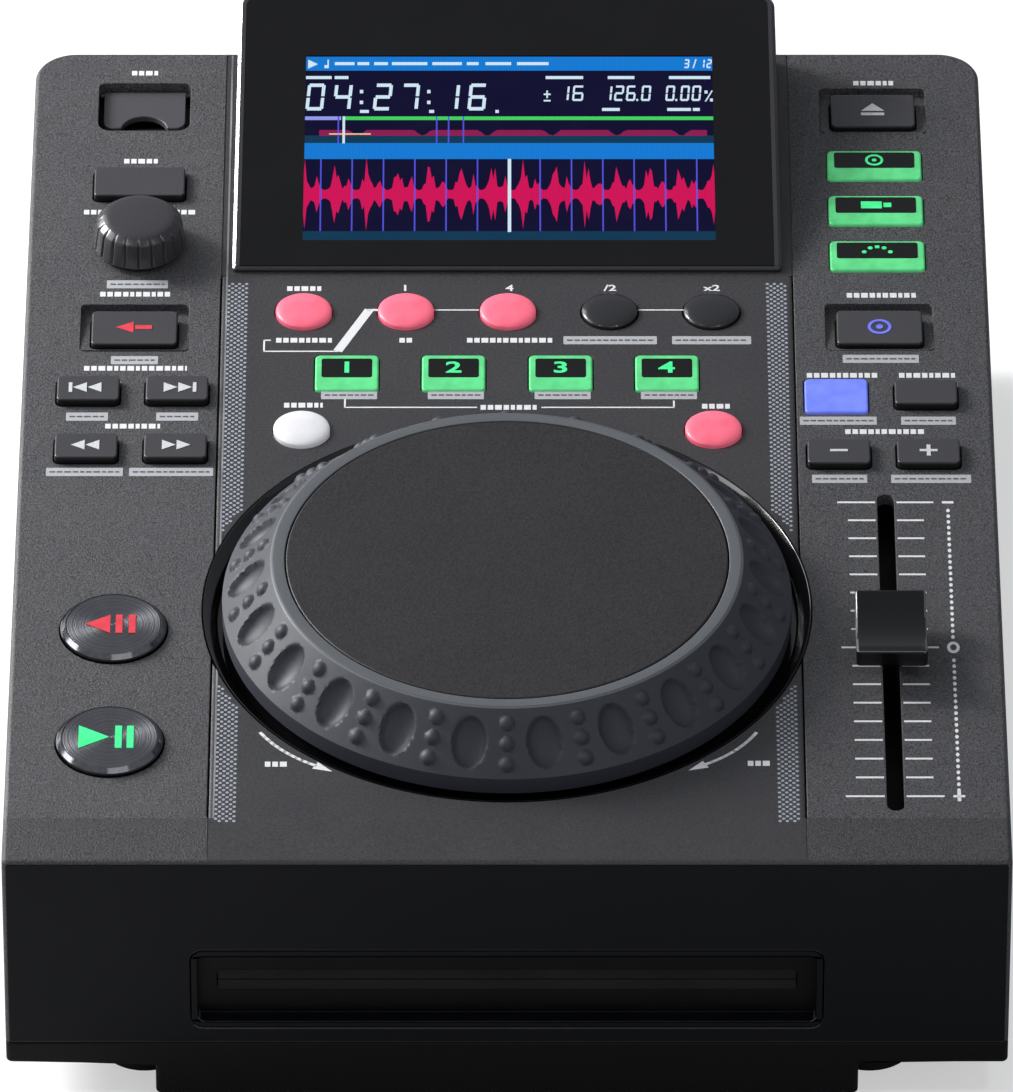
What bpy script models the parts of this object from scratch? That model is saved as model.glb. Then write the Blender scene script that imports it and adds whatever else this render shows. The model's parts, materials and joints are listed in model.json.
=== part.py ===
"""Tabletop disc player for mixing music, as a set of separate parts.

A low desk unit with a slightly tilted control panel, a large jog wheel,
push buttons on both sides, a pitch fader, a raised display hood at the back
and a disc slot in the front face. The disc drive and the boards sit inside.
Metres, +Z up. X runs to the right, Y runs from the front to the back.
"""
import math

import bmesh
import bpy
from mathutils import Matrix, Vector

for old in list(bpy.data.objects):
    bpy.data.objects.remove(old, do_unlink=True)

MM = 0.001


def mm(*values):
    """Millimetres as metres: one value, or a tuple of them."""
    scaled = tuple(value * MM for value in values)
    return scaled if len(scaled) > 1 else scaled[0]


# The wheel's well and the panel around it, which set the plan of the body
WELL_RADIUS = mm(67.6)
WELL_FRONT = mm(20.8)
WELL_BEHIND = mm(54.8)
WELL_OVERLAP = mm(2.4)
WING_WIDTH = mm(44.8)
HOOD_LENGTH = mm(81.7)
HOOD_REAR = mm(2)
PLATE_WIDTH = 2 * (WELL_RADIUS - WELL_OVERLAP)
BODY_WIDTH = PLATE_WIDTH + 2 * WING_WIDTH
JOG_MIDDLE = WELL_FRONT + WELL_RADIUS
WELL_BACK = JOG_MIDDLE + WELL_RADIUS
HOOD_FRONT = WELL_BACK + WELL_BEHIND
HOOD_BACK = HOOD_FRONT + HOOD_LENGTH
BODY_DEPTH = HOOD_BACK + HOOD_REAR

# Levels, walls and corners of the body
FRONT_TOP = mm(66)
PANEL_TILT = math.radians(4)
SEAM_LEVEL = mm(17.1)
PAN_SIDE_LEVEL = mm(11.6)
BELLY_LEVEL = mm(3)
BELLY_SIDE = mm(32.8)
BELLY_WIDTH = BODY_WIDTH - 2 * BELLY_SIDE
WALL = mm(2.5)
PANEL_THICK = mm(3)
REAR_CORNER = mm(9.5)
FRONT_CORNER = mm(1.2)
TOP_EDGE = mm(1.5)

# Shared clearances and how far a cut runs past what it cuts
CLEAR = mm(0.3)
OVERRUN = mm(2)

# Panel frame: x across, y back from the front edge, z out of the panel
FRONT_Y = -BODY_DEPTH / 2
REAR_Y = BODY_DEPTH / 2
WORLD = Matrix.Identity(4)
PANEL = Matrix.Translation((0, FRONT_Y, FRONT_TOP)) @ Matrix.Rotation(PANEL_TILT, 4, "X")

# Center plate, which lies in the housing's opening and is held by its flange
PLATE_FRONT = mm(15)
PLATE_HOOD_GAP = mm(1.3)
PLATE_BACK = HOOD_FRONT - PLATE_HOOD_GAP
PLATE_CORNER = mm(1)
PLATE_GROOVE = mm(0.5)
PLATE_FLANGE = mm(1.4)
PLATE_FLANGE_THICK = mm(1.5)

# Display hood, the window in its sloping face and the screen below it
HOOD_INSET = mm(2.2)
HOOD_WIDTH = PLATE_WIDTH - 2 * HOOD_INSET
HOOD_CORNER = mm(4)
HOOD_FRONT_CORNER = mm(1)
HOOD_LIP = mm(1.2)
HOOD_SLOPE = math.radians(12.5)
HOOD_WALL = mm(2.5)
HOOD_EDGE = mm(0.8)
WINDOW_SIDE = mm(1.6)
WINDOW_END = mm(1.3)
WINDOW_SIZE = (HOOD_WIDTH - 2 * WINDOW_SIDE, HOOD_LENGTH - 2 * WINDOW_END)
WINDOW_CORNER = mm(2.4)
WINDOW_FRONT_CORNER = mm(0.4)
WINDOW_THICK = mm(0.9)
SCREEN_SIDE = mm(9.4)
SCREEN_SHORTER = mm(17.1)
SCREEN_SIZE = (WINDOW_SIZE[0] - 2 * SCREEN_SIDE, WINDOW_SIZE[1] - SCREEN_SHORTER)
SCREEN_THICK = mm(4.5)
SCREEN_SHIFT = mm(4.55)
SCREEN_MIDDLE = HOOD_LENGTH / 2 - SCREEN_SHIFT

# Jog wheel: its shaft and bearing, the dish that it turns in, the ring and the platter
SHAFT_RADIUS = mm(4)
SHAFT_FLANGE_RADIUS = mm(9)
SHAFT_FLANGE_THICK = mm(2)
BEARING_RADIUS = mm(24)
BEARING_TUBE = mm(8)
BEARING_THICK = mm(3)
BEARING_LENGTH = mm(15)
RUNNING_CLEAR = mm(0.08)
WELL_RIM = mm(0.7)
WELL_CONE = mm(3.1)
WELL_FLOOR_RADIUS = WELL_RADIUS - WELL_CONE
WELL_DEPTH = mm(5)
WELL_THICK = mm(1.6)
WELL_COLLAR_WIDTH = mm(2.9)
WELL_COLLAR = WELL_RADIUS + WELL_COLLAR_WIDTH
WELL_HOLE_ROOM = mm(2)
WELL_HOLE = SHAFT_RADIUS + WELL_HOLE_ROOM
RING_PLAY = mm(1.2)
RING_RADIUS = WELL_FLOOR_RADIUS - RING_PLAY
RING_SLOPE_RUN = mm(11.1)
RING_TOP_RADIUS = RING_RADIUS - RING_SLOPE_RUN
RING_TOP = mm(14)
RING_SHOULDER = mm(2.7)
RING_SKIRT = mm(1.3)
RING_WALL = mm(2.6)
RING_WEB = mm(2.2)
RING_BAND = mm(3.15)
PLATTER_RADIUS = RING_TOP_RADIUS - RING_BAND
PLATTER_THICK = mm(2.6)
DIMPLE_COUNT = 22
DIMPLE_HALF_WIDTH = mm(3.7)
DIMPLE_HALF_LENGTH = mm(5.6)
DIMPLE_DEPTH = mm(2.0)
DIMPLE_SIZE = (DIMPLE_HALF_WIDTH, DIMPLE_HALF_LENGTH, DIMPLE_DEPTH)

# Places of the controls. On the wings a column is a share of the wing's width from the
# center plate, with the left wing's negative. On the plate it is a share of half its
# width. A row is a share of the depth from the back of the well to the back of the body.
ROW_DEPTH = BODY_DEPTH - WELL_BACK


def on_wing(column_share, row_share):
    side = math.copysign(1, column_share)
    across = side * PLATE_WIDTH / 2 + column_share * WING_WIDTH
    return across, WELL_BACK + row_share * ROW_DEPTH


def on_center(column_share, row_share):
    return column_share * PLATE_WIDTH / 2, WELL_BACK + row_share * ROW_DEPTH


# Push buttons with a flat rectangular cap: width, length and height of each kind
BUTTON_CORNER = mm(1.2)
BUTTON_EDGE = mm(0.4)
BUTTON_ROOT = mm(4)
STEM_WIDTH = mm(4)
BUTTON_TRAVEL = mm(1.2)
LOW_HEIGHT = mm(0.3)
MIDDLE_HEIGHT = mm(1.0)
HIGH_HEIGHT = mm(1.6)
SMALL_WIDTH = mm(14.2)
SMALL_LENGTH = mm(9.1)
BACK_WIDTH = mm(21.0)
BACK_LENGTH = mm(11.1)
POCKET_BUTTON_WIDTH = mm(19.6)
POCKET_BUTTON_LENGTH = mm(12.5)
SOURCE_WIDTH = mm(21.7)
SOURCE_LENGTH = mm(11.1)
KEY_WIDTH = mm(14.3)
KEY_LENGTH = mm(12.4)
HOT_CUE_WIDTH = mm(14.4)
HOT_CUE_LENGTH = mm(13.1)
SMALL = (SMALL_WIDTH, SMALL_LENGTH, HIGH_HEIGHT)
WIDE = (BACK_WIDTH, BACK_LENGTH, HIGH_HEIGHT)
IN_POCKET = (POCKET_BUTTON_WIDTH, POCKET_BUTTON_LENGTH, MIDDLE_HEIGHT)
SOURCE = (SOURCE_WIDTH, SOURCE_LENGTH, LOW_HEIGHT)
KEY = (KEY_WIDTH, KEY_LENGTH, LOW_HEIGHT)
HOT_CUE = (HOT_CUE_WIDTH, HOT_CUE_LENGTH, LOW_HEIGHT)
BUTTON_LOOKS = {
    "source_disc_button": "green_lit_plastic",
    "source_stick_button": "green_lit_plastic",
    "source_link_button": "green_lit_plastic",
    "hot_cue_1_button": "green_lit_plastic",
    "hot_cue_2_button": "green_lit_plastic",
    "hot_cue_3_button": "green_lit_plastic",
    "hot_cue_4_button": "green_lit_plastic",
    "key_lock_button": "blue_lit_plastic",
    "auto_loop_button": "pink_lit_plastic",
    "loop_in_button": "pink_lit_plastic",
    "loop_out_button": "pink_lit_plastic",
    "slip_button": "pink_lit_plastic",
    "shift_button": "white_lit_plastic",
}
WING_BUTTON_SHARES = {
    "back_button": (-0.438, 0.6299),
    "reverse_button": (-0.440, 0.2363),
    "track_back_button": (-0.663, 0.0702),
    "track_next_button": (-0.214, 0.0702),
    "search_back_button": (-0.663, -0.0821),
    "search_next_button": (-0.214, -0.0821),
    "eject_button": (0.442, 0.8320),
    "source_disc_button": (0.442, 0.6865),
    "source_stick_button": (0.442, 0.5624),
    "source_link_button": (0.442, 0.4381),
    "jog_mode_button": (0.440, 0.2378),
    "key_lock_button": (0.210, 0.0614),
    "tap_button": (0.663, 0.0601),
    "pitch_down_button": (0.214, -0.0965),
    "pitch_up_button": (0.665, -0.0965),
}
CENTER_BUTTON_SHARES = {
    "hot_cue_1_button": (-0.558, 0.1219),
    "hot_cue_2_button": (-0.186, 0.1219),
    "hot_cue_3_button": (0.187, 0.1219),
    "hot_cue_4_button": (0.557, 0.1219),
}
BUTTON_KINDS = {
    "back_button": WIDE,
    "reverse_button": IN_POCKET,
    "eject_button": IN_POCKET,
    "jog_mode_button": IN_POCKET,
    "source_disc_button": SOURCE,
    "source_stick_button": SOURCE,
    "source_link_button": SOURCE,
    "key_lock_button": KEY,
}
BUTTONS = {}
for name, shares in WING_BUTTON_SHARES.items():
    BUTTONS[name] = (*on_wing(*shares), *BUTTON_KINDS.get(name, SMALL))
for name, shares in CENTER_BUTTON_SHARES.items():
    BUTTONS[name] = (*on_center(*shares), *HOT_CUE)

# Round domed buttons
DOME_RADIUS = mm(6.4)
DOME_HEIGHT = mm(1.6)
DOME_SIDE = mm(0.4)
DOME_SHARES = {
    "auto_loop_button": (-0.712, 0.2873),
    "loop_in_button": (-0.354, 0.2873),
    "loop_out_button": (0.003, 0.2873),
    "loop_halve_button": (0.359, 0.2873),
    "loop_double_button": (0.716, 0.2873),
    "shift_button": (-0.712, -0.0275),
    "slip_button": (0.715, -0.0275),
}
DOMES = {name: on_center(*shares) for name, shares in DOME_SHARES.items()}

# Large round buttons beside the well: rows are shares of its radius, from the wheel's axis
DISC_RADIUS = mm(11.8)
DISC_TOP_RADIUS = mm(10.4)
DISC_HEIGHT = mm(1.5)
DISC_COLUMN_SHARE = -0.4933
CUE_ROW_SHARE = -0.1169
PLAY_ROW_SHARE = -0.7012
DISC_ACROSS = on_wing(DISC_COLUMN_SHARE, 0)[0]
DISCS = {
    "cue_button": (DISC_ACROSS, JOG_MIDDLE + CUE_ROW_SHARE * WELL_RADIUS),
    "play_button": (DISC_ACROSS, JOG_MIDDLE + PLAY_ROW_SHARE * WELL_RADIUS),
}

# Scooped pockets around three of the buttons, deepest behind them
POCKET_DEPTH = mm(2.1)
POCKET_CORNER = mm(1.5)
POCKET_SIDE = mm(2.5)
POCKET_BEFORE = mm(7.4)
POCKET_BEHIND = mm(10.0)

# Browse knob
KNOB_SHARES = (-0.42857, 0.46570)
KNOB_PLACE = on_wing(*KNOB_SHARES)
KNOB_RADIUS = mm(10.6)
KNOB_NECK_RADIUS = mm(9.9)
KNOB_TOP_RADIUS = mm(8.2)
KNOB_HEIGHT = mm(9)
KNOB_SHOULDER = mm(7.8)
KNOB_DOME = mm(0.5)
KNOB_LIFT = mm(1.1)
KNOB_BORE = mm(3.3)
KNOB_BORE_DEPTH = mm(6)
KNOB_FLUTES = 20
KNOB_FLUTE = mm(0.7)
ENCODER_WIDTH = mm(12)
ENCODER_HEIGHT = mm(6)
ENCODER_BUSH = mm(4.6)
ENCODER_BUSH_TOP = mm(0.2)
SHAFT_BROWSE = mm(3)
SHAFT_BROWSE_LOW = mm(11)

# Pitch fader
FADER_BEFORE = mm(15.15)
FADER_COLUMN_SHARE = 0.44196
FADER_PLACE = (on_wing(FADER_COLUMN_SHARE, 0)[0], JOG_MIDDLE - FADER_BEFORE)
FADER_SLOT_WIDTH = mm(3.8)
FADER_SHORTER = mm(24.1)
FADER_SLOT = (FADER_SLOT_WIDTH, 2 * WELL_RADIUS - FADER_SHORTER)
FADER_CAP_WIDTH = mm(15.8)
FADER_CAP_LENGTH = mm(22.4)
FADER_CAP_HEIGHT = mm(4.5)
FADER_CAP_LIFT = mm(4.2)
FADER_HOLLOW_RADIUS = mm(26)
FADER_HOLLOW_DEPTH = mm(2.4)
FADER_STEM_WIDTH = mm(2.6)
FADER_STEM_LENGTH = mm(8)
FADER_BODY_WIDTH = mm(11)
FADER_BODY_LONGER = mm(12.9)
FADER_GUIDE_WIDTH = mm(4.2)
FADER_GUIDE_LONGER = mm(4.9)
FADER_GUIDE_DEPTH = mm(5)

# Plug recess with its door
STICK_SHARES = (-0.42746, 0.85271)
STICK_PLACE = on_wing(*STICK_SHARES)
STICK_WIDTH = mm(21.3)
STICK_LENGTH = mm(18.3)
STICK_CORNER = mm(1.5)
STICK_DOOR_SIDE = mm(1.15)
STICK_DOOR_WIDTH = STICK_WIDTH - 2 * STICK_DOOR_SIDE
STICK_DOOR_LENGTH = mm(14.4)
STICK_HINGE_INSET = mm(1.25)
STICK_DOOR_DROP = mm(2)
STICK_DOOR_THICK = mm(1.6)
STICK_NOTCH_RADIUS = mm(5.4)
STICK_NOTCH_DEPTH = mm(4.6)
STICK_BARREL = mm(0.8)
STICK_PIN_RADIUS = mm(0.5)
STICK_FLOOR = mm(4.2)
STICK_FLANGE_SIDE = mm(2.1)
STICK_FLANGE_THICK = mm(1.2)
STICK_SHELL_WIDTH = mm(14.8)
STICK_SHELL_LENGTH = mm(8.2)
STICK_SHELL_DEPTH = mm(15)
STICK_SHELL_WALL = mm(1)
STICK_BORE_DEPTH = mm(12)

# Disc slot in the front face, with its inset bezel
SLOT_WIDTH = mm(138.8)
SLOT_HEIGHT = mm(21.0)
SLOT_MIDDLE = mm(31.6)
SLOT_CORNER = mm(3)
SLOT_RIM = mm(1.4)
SLOT_RECESS = mm(3.6)
SLOT_DEPTH = mm(7.4)
SLOT_FLANGE = mm(2.35)
SLOT_FLANGE_THICK = mm(1.5)
SLIT_SIDE = mm(5.9)
SLIT_WIDTH = SLOT_WIDTH - 2 * SLIT_SIDE
SLIT_HEIGHT = mm(5.4)

# Disc drive
DRIVE_WIDTH = mm(138)
DRIVE_FRONT = mm(8)
DRIVE_LENGTH = mm(138)
DRIVE_LOW = mm(18)
DRIVE_HIGH = mm(44)
DRIVE_PLATE = mm(1.6)
DRIVE_SIDE = mm(2)
MOTOR_RADIUS = mm(11)
MOTOR_TOP = mm(24.8)
SPINDLE_BACK = mm(78)
SPINDLE_RADIUS = mm(15)
SPINDLE_BOSS = mm(7.3)
SPINDLE_TOP = mm(28.8)
SPINDLE_TABLE_LOW = mm(25.6)
SPINDLE_TABLE_TOP = mm(27.2)
SPINDLE_AXLE = mm(1.5)
ROLLER_BACK = mm(17)
ROLLER_RADIUS = mm(4)
ROLLER_SIDE = mm(6)
ROLLER_LENGTH = DRIVE_WIDTH - 2 * ROLLER_SIDE
ROLLER_PIN = mm(1.5)
ROLLER_TOP = mm(28.7)
SLED_WIDTH = mm(26)
SLED_LENGTH = mm(20)
SLED_THICK = mm(4.6)
SLED_BACK = mm(105)
SLED_LOW = mm(20.2)
SLED_ROD = mm(1.2)
SLED_ROD_SPREAD = mm(9)
SLED_END = mm(3)
LENS_RADIUS = mm(4)
LENS_TOP = mm(26.4)

# Boards inside, and the bosses and posts that hold them
BOARD_THICK = mm(1.6)
CONTROL_BOARD_DROP = mm(13)
CONTROL_BOARD_SIDE = mm(4.5)
CONTROL_BOARD_FRONT = mm(8)
CONTROL_BOARD_REAR = mm(4)
SWITCH_WIDTH = mm(6)
SWITCH_HEIGHT = mm(3.2)
BOSS_RADIUS = mm(3)
BOSS_SIDE = mm(9)
BOSS_FRONT = mm(13)
BOSS_REAR = mm(8)
LEFT_BOSS_ROW_SHARE = -0.3177
RIGHT_BOSS_ROW_SHARE = -0.1877
MAIN_BOARD_SIDE = mm(17)
MAIN_BOARD_LENGTH = mm(66)
MAIN_BOARD_LEVEL = mm(24)
POST_RADIUS = mm(3)
BOARD_POST_SIDE = mm(8)
BOARD_POST_END = mm(7)
DRIVE_POST_END = mm(13)
CHIP_WIDTH = mm(22)
CHIP_HEIGHT = mm(2)
CHIP_SHARES = ((-0.1613, -0.215), (0.1505, -0.276))

# Sockets and switch on the back: places across are shares of the body's width
PHONO_SHARE = -0.28182
PHONO_RISE = mm(9)
PHONO_PITCH = mm(16)
PHONO_WIDTH = mm(32)
PHONO_LENGTH = mm(13)
PHONO_HEIGHT = mm(17)
PHONO_RADIUS = mm(4.2)
PHONO_GROOVE_RADIUS = mm(7.2)
PHONO_GROOVE_DEPTH = mm(8)
PHONO_BORE = mm(1.6)
DATA_SHARE = -0.06364
DATA_RISE = mm(6.3)
DATA_WALL = mm(1.8)
DATA_BORE_WIDTH = mm(8.9)
DATA_BORE_LENGTH = mm(10)
DATA_BORE_HEIGHT = mm(8.2)
DATA_LENGTH = mm(17)
DATA_HEIGHT = mm(12)
POWER_SHARE = 0.15455
POWER_RISE = mm(7.1)
POWER_WIDTH = mm(13.5)
POWER_LENGTH = mm(15)
POWER_BORE_RADIUS = mm(4.6)
POWER_BORE_DEPTH = mm(10)
POWER_PIN = mm(1)
ROCKER_SHARE = 0.32727
ROCKER_RISE = mm(12)
ROCKER_WIDTH = mm(18)
ROCKER_LENGTH = mm(6)
ROCKER_HEIGHT = mm(11)
ROCKER_DROP = mm(4)
ROCKER_SPACE = mm(0.8)
ROCKER_TILT = math.radians(8)

# Feet
FOOT_RADIUS = mm(10)
FOOT_SIDE = mm(30)
FOOT_END = mm(22)
FOOT_EDGE = mm(0.8)
FOOT_ROOM = mm(1.5)
FOOT_POCKET = FOOT_RADIUS + FOOT_ROOM

# How many steps make a full turn, a round corner or a dome
TURN_STEPS = 48
SMALL_TURN_STEPS = 20
DISC_STEPS = 28
ROD_STEPS = 12
DOME_STEPS = 4
FLUTE_STEPS = 6
CORNER_STEPS = 2
BODY_CORNER_STEPS = 5
DIMPLE_STEPS = 2
SHARP_ANGLE = math.radians(32)

# Finishes: colour, roughness, metallic
FINISHES = {
    "pebbled_black_plastic": ((0.045, 0.045, 0.046), 0.62, 0.0),
    "satin_black_plastic": ((0.036, 0.036, 0.038), 0.45, 0.0),
    "base_black_plastic": ((0.012, 0.012, 0.014), 0.5, 0.0),
    "gloss_black_plastic": ((0.012, 0.012, 0.014), 0.12, 0.0),
    "button_black_plastic": ((0.018, 0.018, 0.020), 0.35, 0.0),
    "tinted_glass": ((0.010, 0.011, 0.014), 0.08, 0.0),
    "screen_glass": ((0.02, 0.05, 0.25), 0.2, 0.0),
    "wheel_rubber": ((0.07, 0.075, 0.085), 0.55, 0.0),
    "platter_grey_plastic": ((0.042, 0.040, 0.043), 0.6, 0.0),
    "steel": ((0.55, 0.56, 0.58), 0.3, 1.0),
    "dark_metal": ((0.10, 0.10, 0.11), 0.28, 1.0),
    "board_green": ((0.02, 0.12, 0.05), 0.5, 0.0),
    "pink_lit_plastic": ((0.90, 0.12, 0.20), 0.4, 0.0),
    "green_lit_plastic": ((0.06, 0.66, 0.15), 0.4, 0.0),
    "blue_lit_plastic": ((0.12, 0.14, 0.80), 0.4, 0.0),
    "white_lit_plastic": ((0.75, 0.75, 0.75), 0.4, 0.0),
    "foot_rubber": ((0.01, 0.01, 0.011), 0.8, 0.0),
}

PARTS = bpy.data.collections.new("disc_player")
bpy.context.scene.collection.children.link(PARTS)


def finish(name):
    """The named finish as a material, made on its first use."""
    made = bpy.data.materials.get(name)
    if made:
        return made
    colour, roughness, metallic = FINISHES[name]
    made = bpy.data.materials.new(name)
    made.use_nodes = True
    shader = made.node_tree.nodes["Principled BSDF"]
    shader.inputs["Base Color"].default_value = (*colour, 1)
    shader.inputs["Roughness"].default_value = roughness
    shader.inputs["Metallic"].default_value = metallic
    made.diffuse_color = (*colour, 1)
    return made


def place(name, shape, frame):
    """A new object of this mesh, standing in the frame."""
    made = bpy.data.objects.new(name, shape)
    PARTS.objects.link(made)
    made.matrix_world = frame
    return made


def built(name, work, frame):
    """The bmesh as an object with its faces turned outwards."""
    bmesh.ops.recalc_face_normals(work, faces=work.faces)
    shape = bpy.data.meshes.new(name)
    work.to_mesh(shape)
    work.free()
    return place(name, shape, frame)


def bake(made):
    """Turns the object's modifiers into mesh."""
    bpy.context.view_layer.update()
    graph = bpy.context.evaluated_depsgraph_get()
    shape = bpy.data.meshes.new_from_object(made.evaluated_get(graph))
    made.modifiers.clear()
    made.data = shape


def combine(made, operation, others):
    for other in others:
        step = made.modifiers.new(other.name, "BOOLEAN")
        step.operation = operation
        step.solver = "EXACT"
        step.object = other
    bake(made)
    for other in others:
        bpy.data.objects.remove(other, do_unlink=True)
    return made


def cut(made, *tools):
    return combine(made, "DIFFERENCE", tools)


def join(made, *pieces):
    return combine(made, "UNION", pieces)


def on_panel(across, back, level=0):
    """A frame on the panel, with its z axis out of the panel."""
    return PANEL @ Matrix.Translation((across, back, level))


def outline(left, right, front, back, radii, steps=CORNER_STEPS):
    """A rectangle with round corners, from the front left one counter-clockwise."""
    corners = (
        (left, front, 1, 1, math.pi),
        (right, front, -1, 1, 1.5 * math.pi),
        (right, back, -1, -1, 0),
        (left, back, 1, -1, 0.5 * math.pi),
    )
    points = []
    for (x, y, side, end, start), radius in zip(corners, radii):
        for step in range(steps + 1 if radius else 1):
            turn = start + 0.5 * math.pi * step / steps
            across = x + radius * (side + math.cos(turn))
            points.append((across, y + radius * (end + math.sin(turn))))
    return points


def rectangle(width, length, radius=0, across=0, back=0, steps=CORNER_STEPS):
    left, right = across - width / 2, across + width / 2
    return outline(left, right, back - length / 2, back + length / 2, (radius,) * 4, steps)


def circle(radius, across=0, back=0, steps=TURN_STEPS):
    turns = [2 * math.pi * step / steps for step in range(steps)]
    return [(across + radius * math.cos(t), back + radius * math.sin(t)) for t in turns]


def plate(name, loops, low, high, frame=WORLD):
    """A sheet between two levels of the frame: an outline, and holes or more outlines."""
    curve = bpy.data.curves.new(name, "CURVE")
    curve.dimensions = "2D"
    curve.fill_mode = "BOTH"
    curve.extrude = (high - low) / 2
    for loop in loops:
        spline = curve.splines.new("POLY")
        spline.points.add(len(loop) - 1)
        for point, (x, y) in zip(spline.points, loop):
            point.co = (x, y, 0, 1)
        spline.use_cyclic_u = True
    drawn = bpy.data.objects.new(name, curve)
    bpy.context.scene.collection.objects.link(drawn)
    graph = bpy.context.evaluated_depsgraph_get()
    shape = bpy.data.meshes.new_from_object(drawn.evaluated_get(graph))
    bpy.data.objects.remove(drawn, do_unlink=True)
    work = bmesh.new()
    work.from_mesh(shape)
    bmesh.ops.remove_doubles(work, verts=work.verts, dist=MM / 1000)
    bmesh.ops.translate(work, vec=(0, 0, (low + high) / 2), verts=work.verts)
    return built(name, work, frame)


def turned(name, profile, frame, steps=TURN_STEPS):
    """A profile of (radius, level) points, from the top down, turned about the z axis."""
    work = bmesh.new()
    points = [work.verts.new((radius, 0, level)) for radius, level in profile]
    for start, end in zip(points, points[1:]):
        work.edges.new((start, end))
    if profile[0][0] > 0:
        work.edges.new((points[-1], points[0]))
    shape = bpy.data.meshes.new(name)
    work.to_mesh(shape)
    work.free()
    made = place(name, shape, frame)
    turn = made.modifiers.new("turn", "SCREW")
    turn.steps = steps
    turn.render_steps = steps
    turn.use_merge_vertices = True
    turn.merge_threshold = MM / 1000
    bake(made)
    work = bmesh.new()
    work.from_mesh(made.data)
    bmesh.ops.recalc_face_normals(work, faces=work.faces)
    work.to_mesh(made.data)
    work.free()
    return made


def block(name, size, middle, frame=WORLD):
    work = bmesh.new()
    spread = Matrix.Translation(middle) @ Matrix.Diagonal((*size, 1))
    bmesh.ops.create_cube(work, size=1, matrix=spread)
    return built(name, work, frame)


def rod(name, radius, start, end, frame=WORLD, steps=SMALL_TURN_STEPS):
    """A cylinder between two points of the frame."""
    start, end = Vector(start), Vector(end)
    along = (end - start).to_track_quat("Z", "Y").to_matrix().to_4x4()
    work = bmesh.new()
    bmesh.ops.create_cone(
        work,
        cap_ends=True,
        segments=steps,
        radius1=radius,
        radius2=radius,
        depth=(end - start).length,
        matrix=Matrix.Translation((start + end) / 2) @ along,
    )
    return built(name, work, frame)


def level_edges(work, level):
    """The edges that lie in one level of a mesh."""
    near = MM / 100
    return [e for e in work.edges if all(abs(v.co.z - level) < near for v in e.verts)]


def slab(name, size, low, high, corner, edge, frame=WORLD):
    """A block with round upright corners and a softened top edge."""
    work = bmesh.new()
    spread = Matrix.Translation((0, 0, (low + high) / 2))
    spread = spread @ Matrix.Diagonal((*size, high - low, 1))
    bmesh.ops.create_cube(work, size=1, matrix=spread)
    flat = set(level_edges(work, low)) | set(level_edges(work, high))
    upright = [e for e in work.edges if e not in flat]
    bmesh.ops.bevel(
        work, geom=upright, offset=corner, segments=CORNER_STEPS, profile=0.5, affect="EDGES"
    )
    top = level_edges(work, high)
    bmesh.ops.bevel(work, geom=top, offset=edge, segments=1, profile=0.5, affect="EDGES")
    return built(name, work, frame)


def trim(made, frame, edge=0):
    """Cuts away what lies above the frame's xy plane, and rounds the new edge."""
    work = bmesh.new()
    work.from_mesh(made.data)
    local = made.matrix_world.inverted() @ frame
    geometry = work.verts[:] + work.edges[:] + work.faces[:]
    found = bmesh.ops.bisect_plane(
        work,
        geom=geometry,
        plane_co=local.translation,
        plane_no=local.to_3x3() @ Vector((0, 0, 1)),
        clear_outer=True,
    )
    rim = [item for item in found["geom_cut"] if isinstance(item, bmesh.types.BMEdge)]
    bmesh.ops.edgeloop_fill(work, edges=rim)
    bmesh.ops.recalc_face_normals(work, faces=work.faces)
    if edge:
        bmesh.ops.bevel(
            work, geom=rim, offset=edge, segments=CORNER_STEPS, profile=0.5, affect="EDGES"
        )
    work.to_mesh(made.data)
    work.free()
    return made


def done(made, look):
    """Gives the part its finish, smooth where it is round."""
    made.data.materials.clear()
    made.data.materials.append(finish(look))
    made.data.shade_smooth()
    made.data.set_sharp_from_angle(angle=SHARP_ANGLE)
    return made


# Body: the upper housing, with its holes for the controls

def body_outline(inset):
    """The body's plan outline, moved inwards by the inset."""
    side = BODY_WIDTH / 2 - inset
    front = max(FRONT_CORNER - inset, 0)
    back = REAR_CORNER - inset
    radii = (front, front, back, back)
    return outline(-side, side, FRONT_Y + inset, REAR_Y - inset, radii, BODY_CORNER_STEPS)


def panel_hole(name, loops, depth):
    return plate(name, loops, -depth, OVERRUN, PANEL)


SKY = FRONT_TOP + BODY_DEPTH * math.sin(PANEL_TILT) + OVERRUN
HOUSING_LOW = SEAM_LEVEL + CLEAR / 2
PAN_TOP = SEAM_LEVEL - CLEAR / 2
housing = plate("top_housing", [body_outline(0)], HOUSING_LOW, SKY)
trim(housing, PANEL, TOP_EDGE)
cavity = plate("cavity", [body_outline(WALL)], HOUSING_LOW - OVERRUN, SKY)
trim(cavity, on_panel(0, 0, -PANEL_THICK))
cut(housing, cavity)


def button_hole(name):
    across, back, width, length, _ = BUTTONS[name]
    return rectangle(width + 2 * CLEAR, length + 2 * CLEAR, BUTTON_CORNER + CLEAR, across, back)


def on_plate(name):
    return abs(BUTTONS[name][0]) < PLATE_WIDTH / 2


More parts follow.
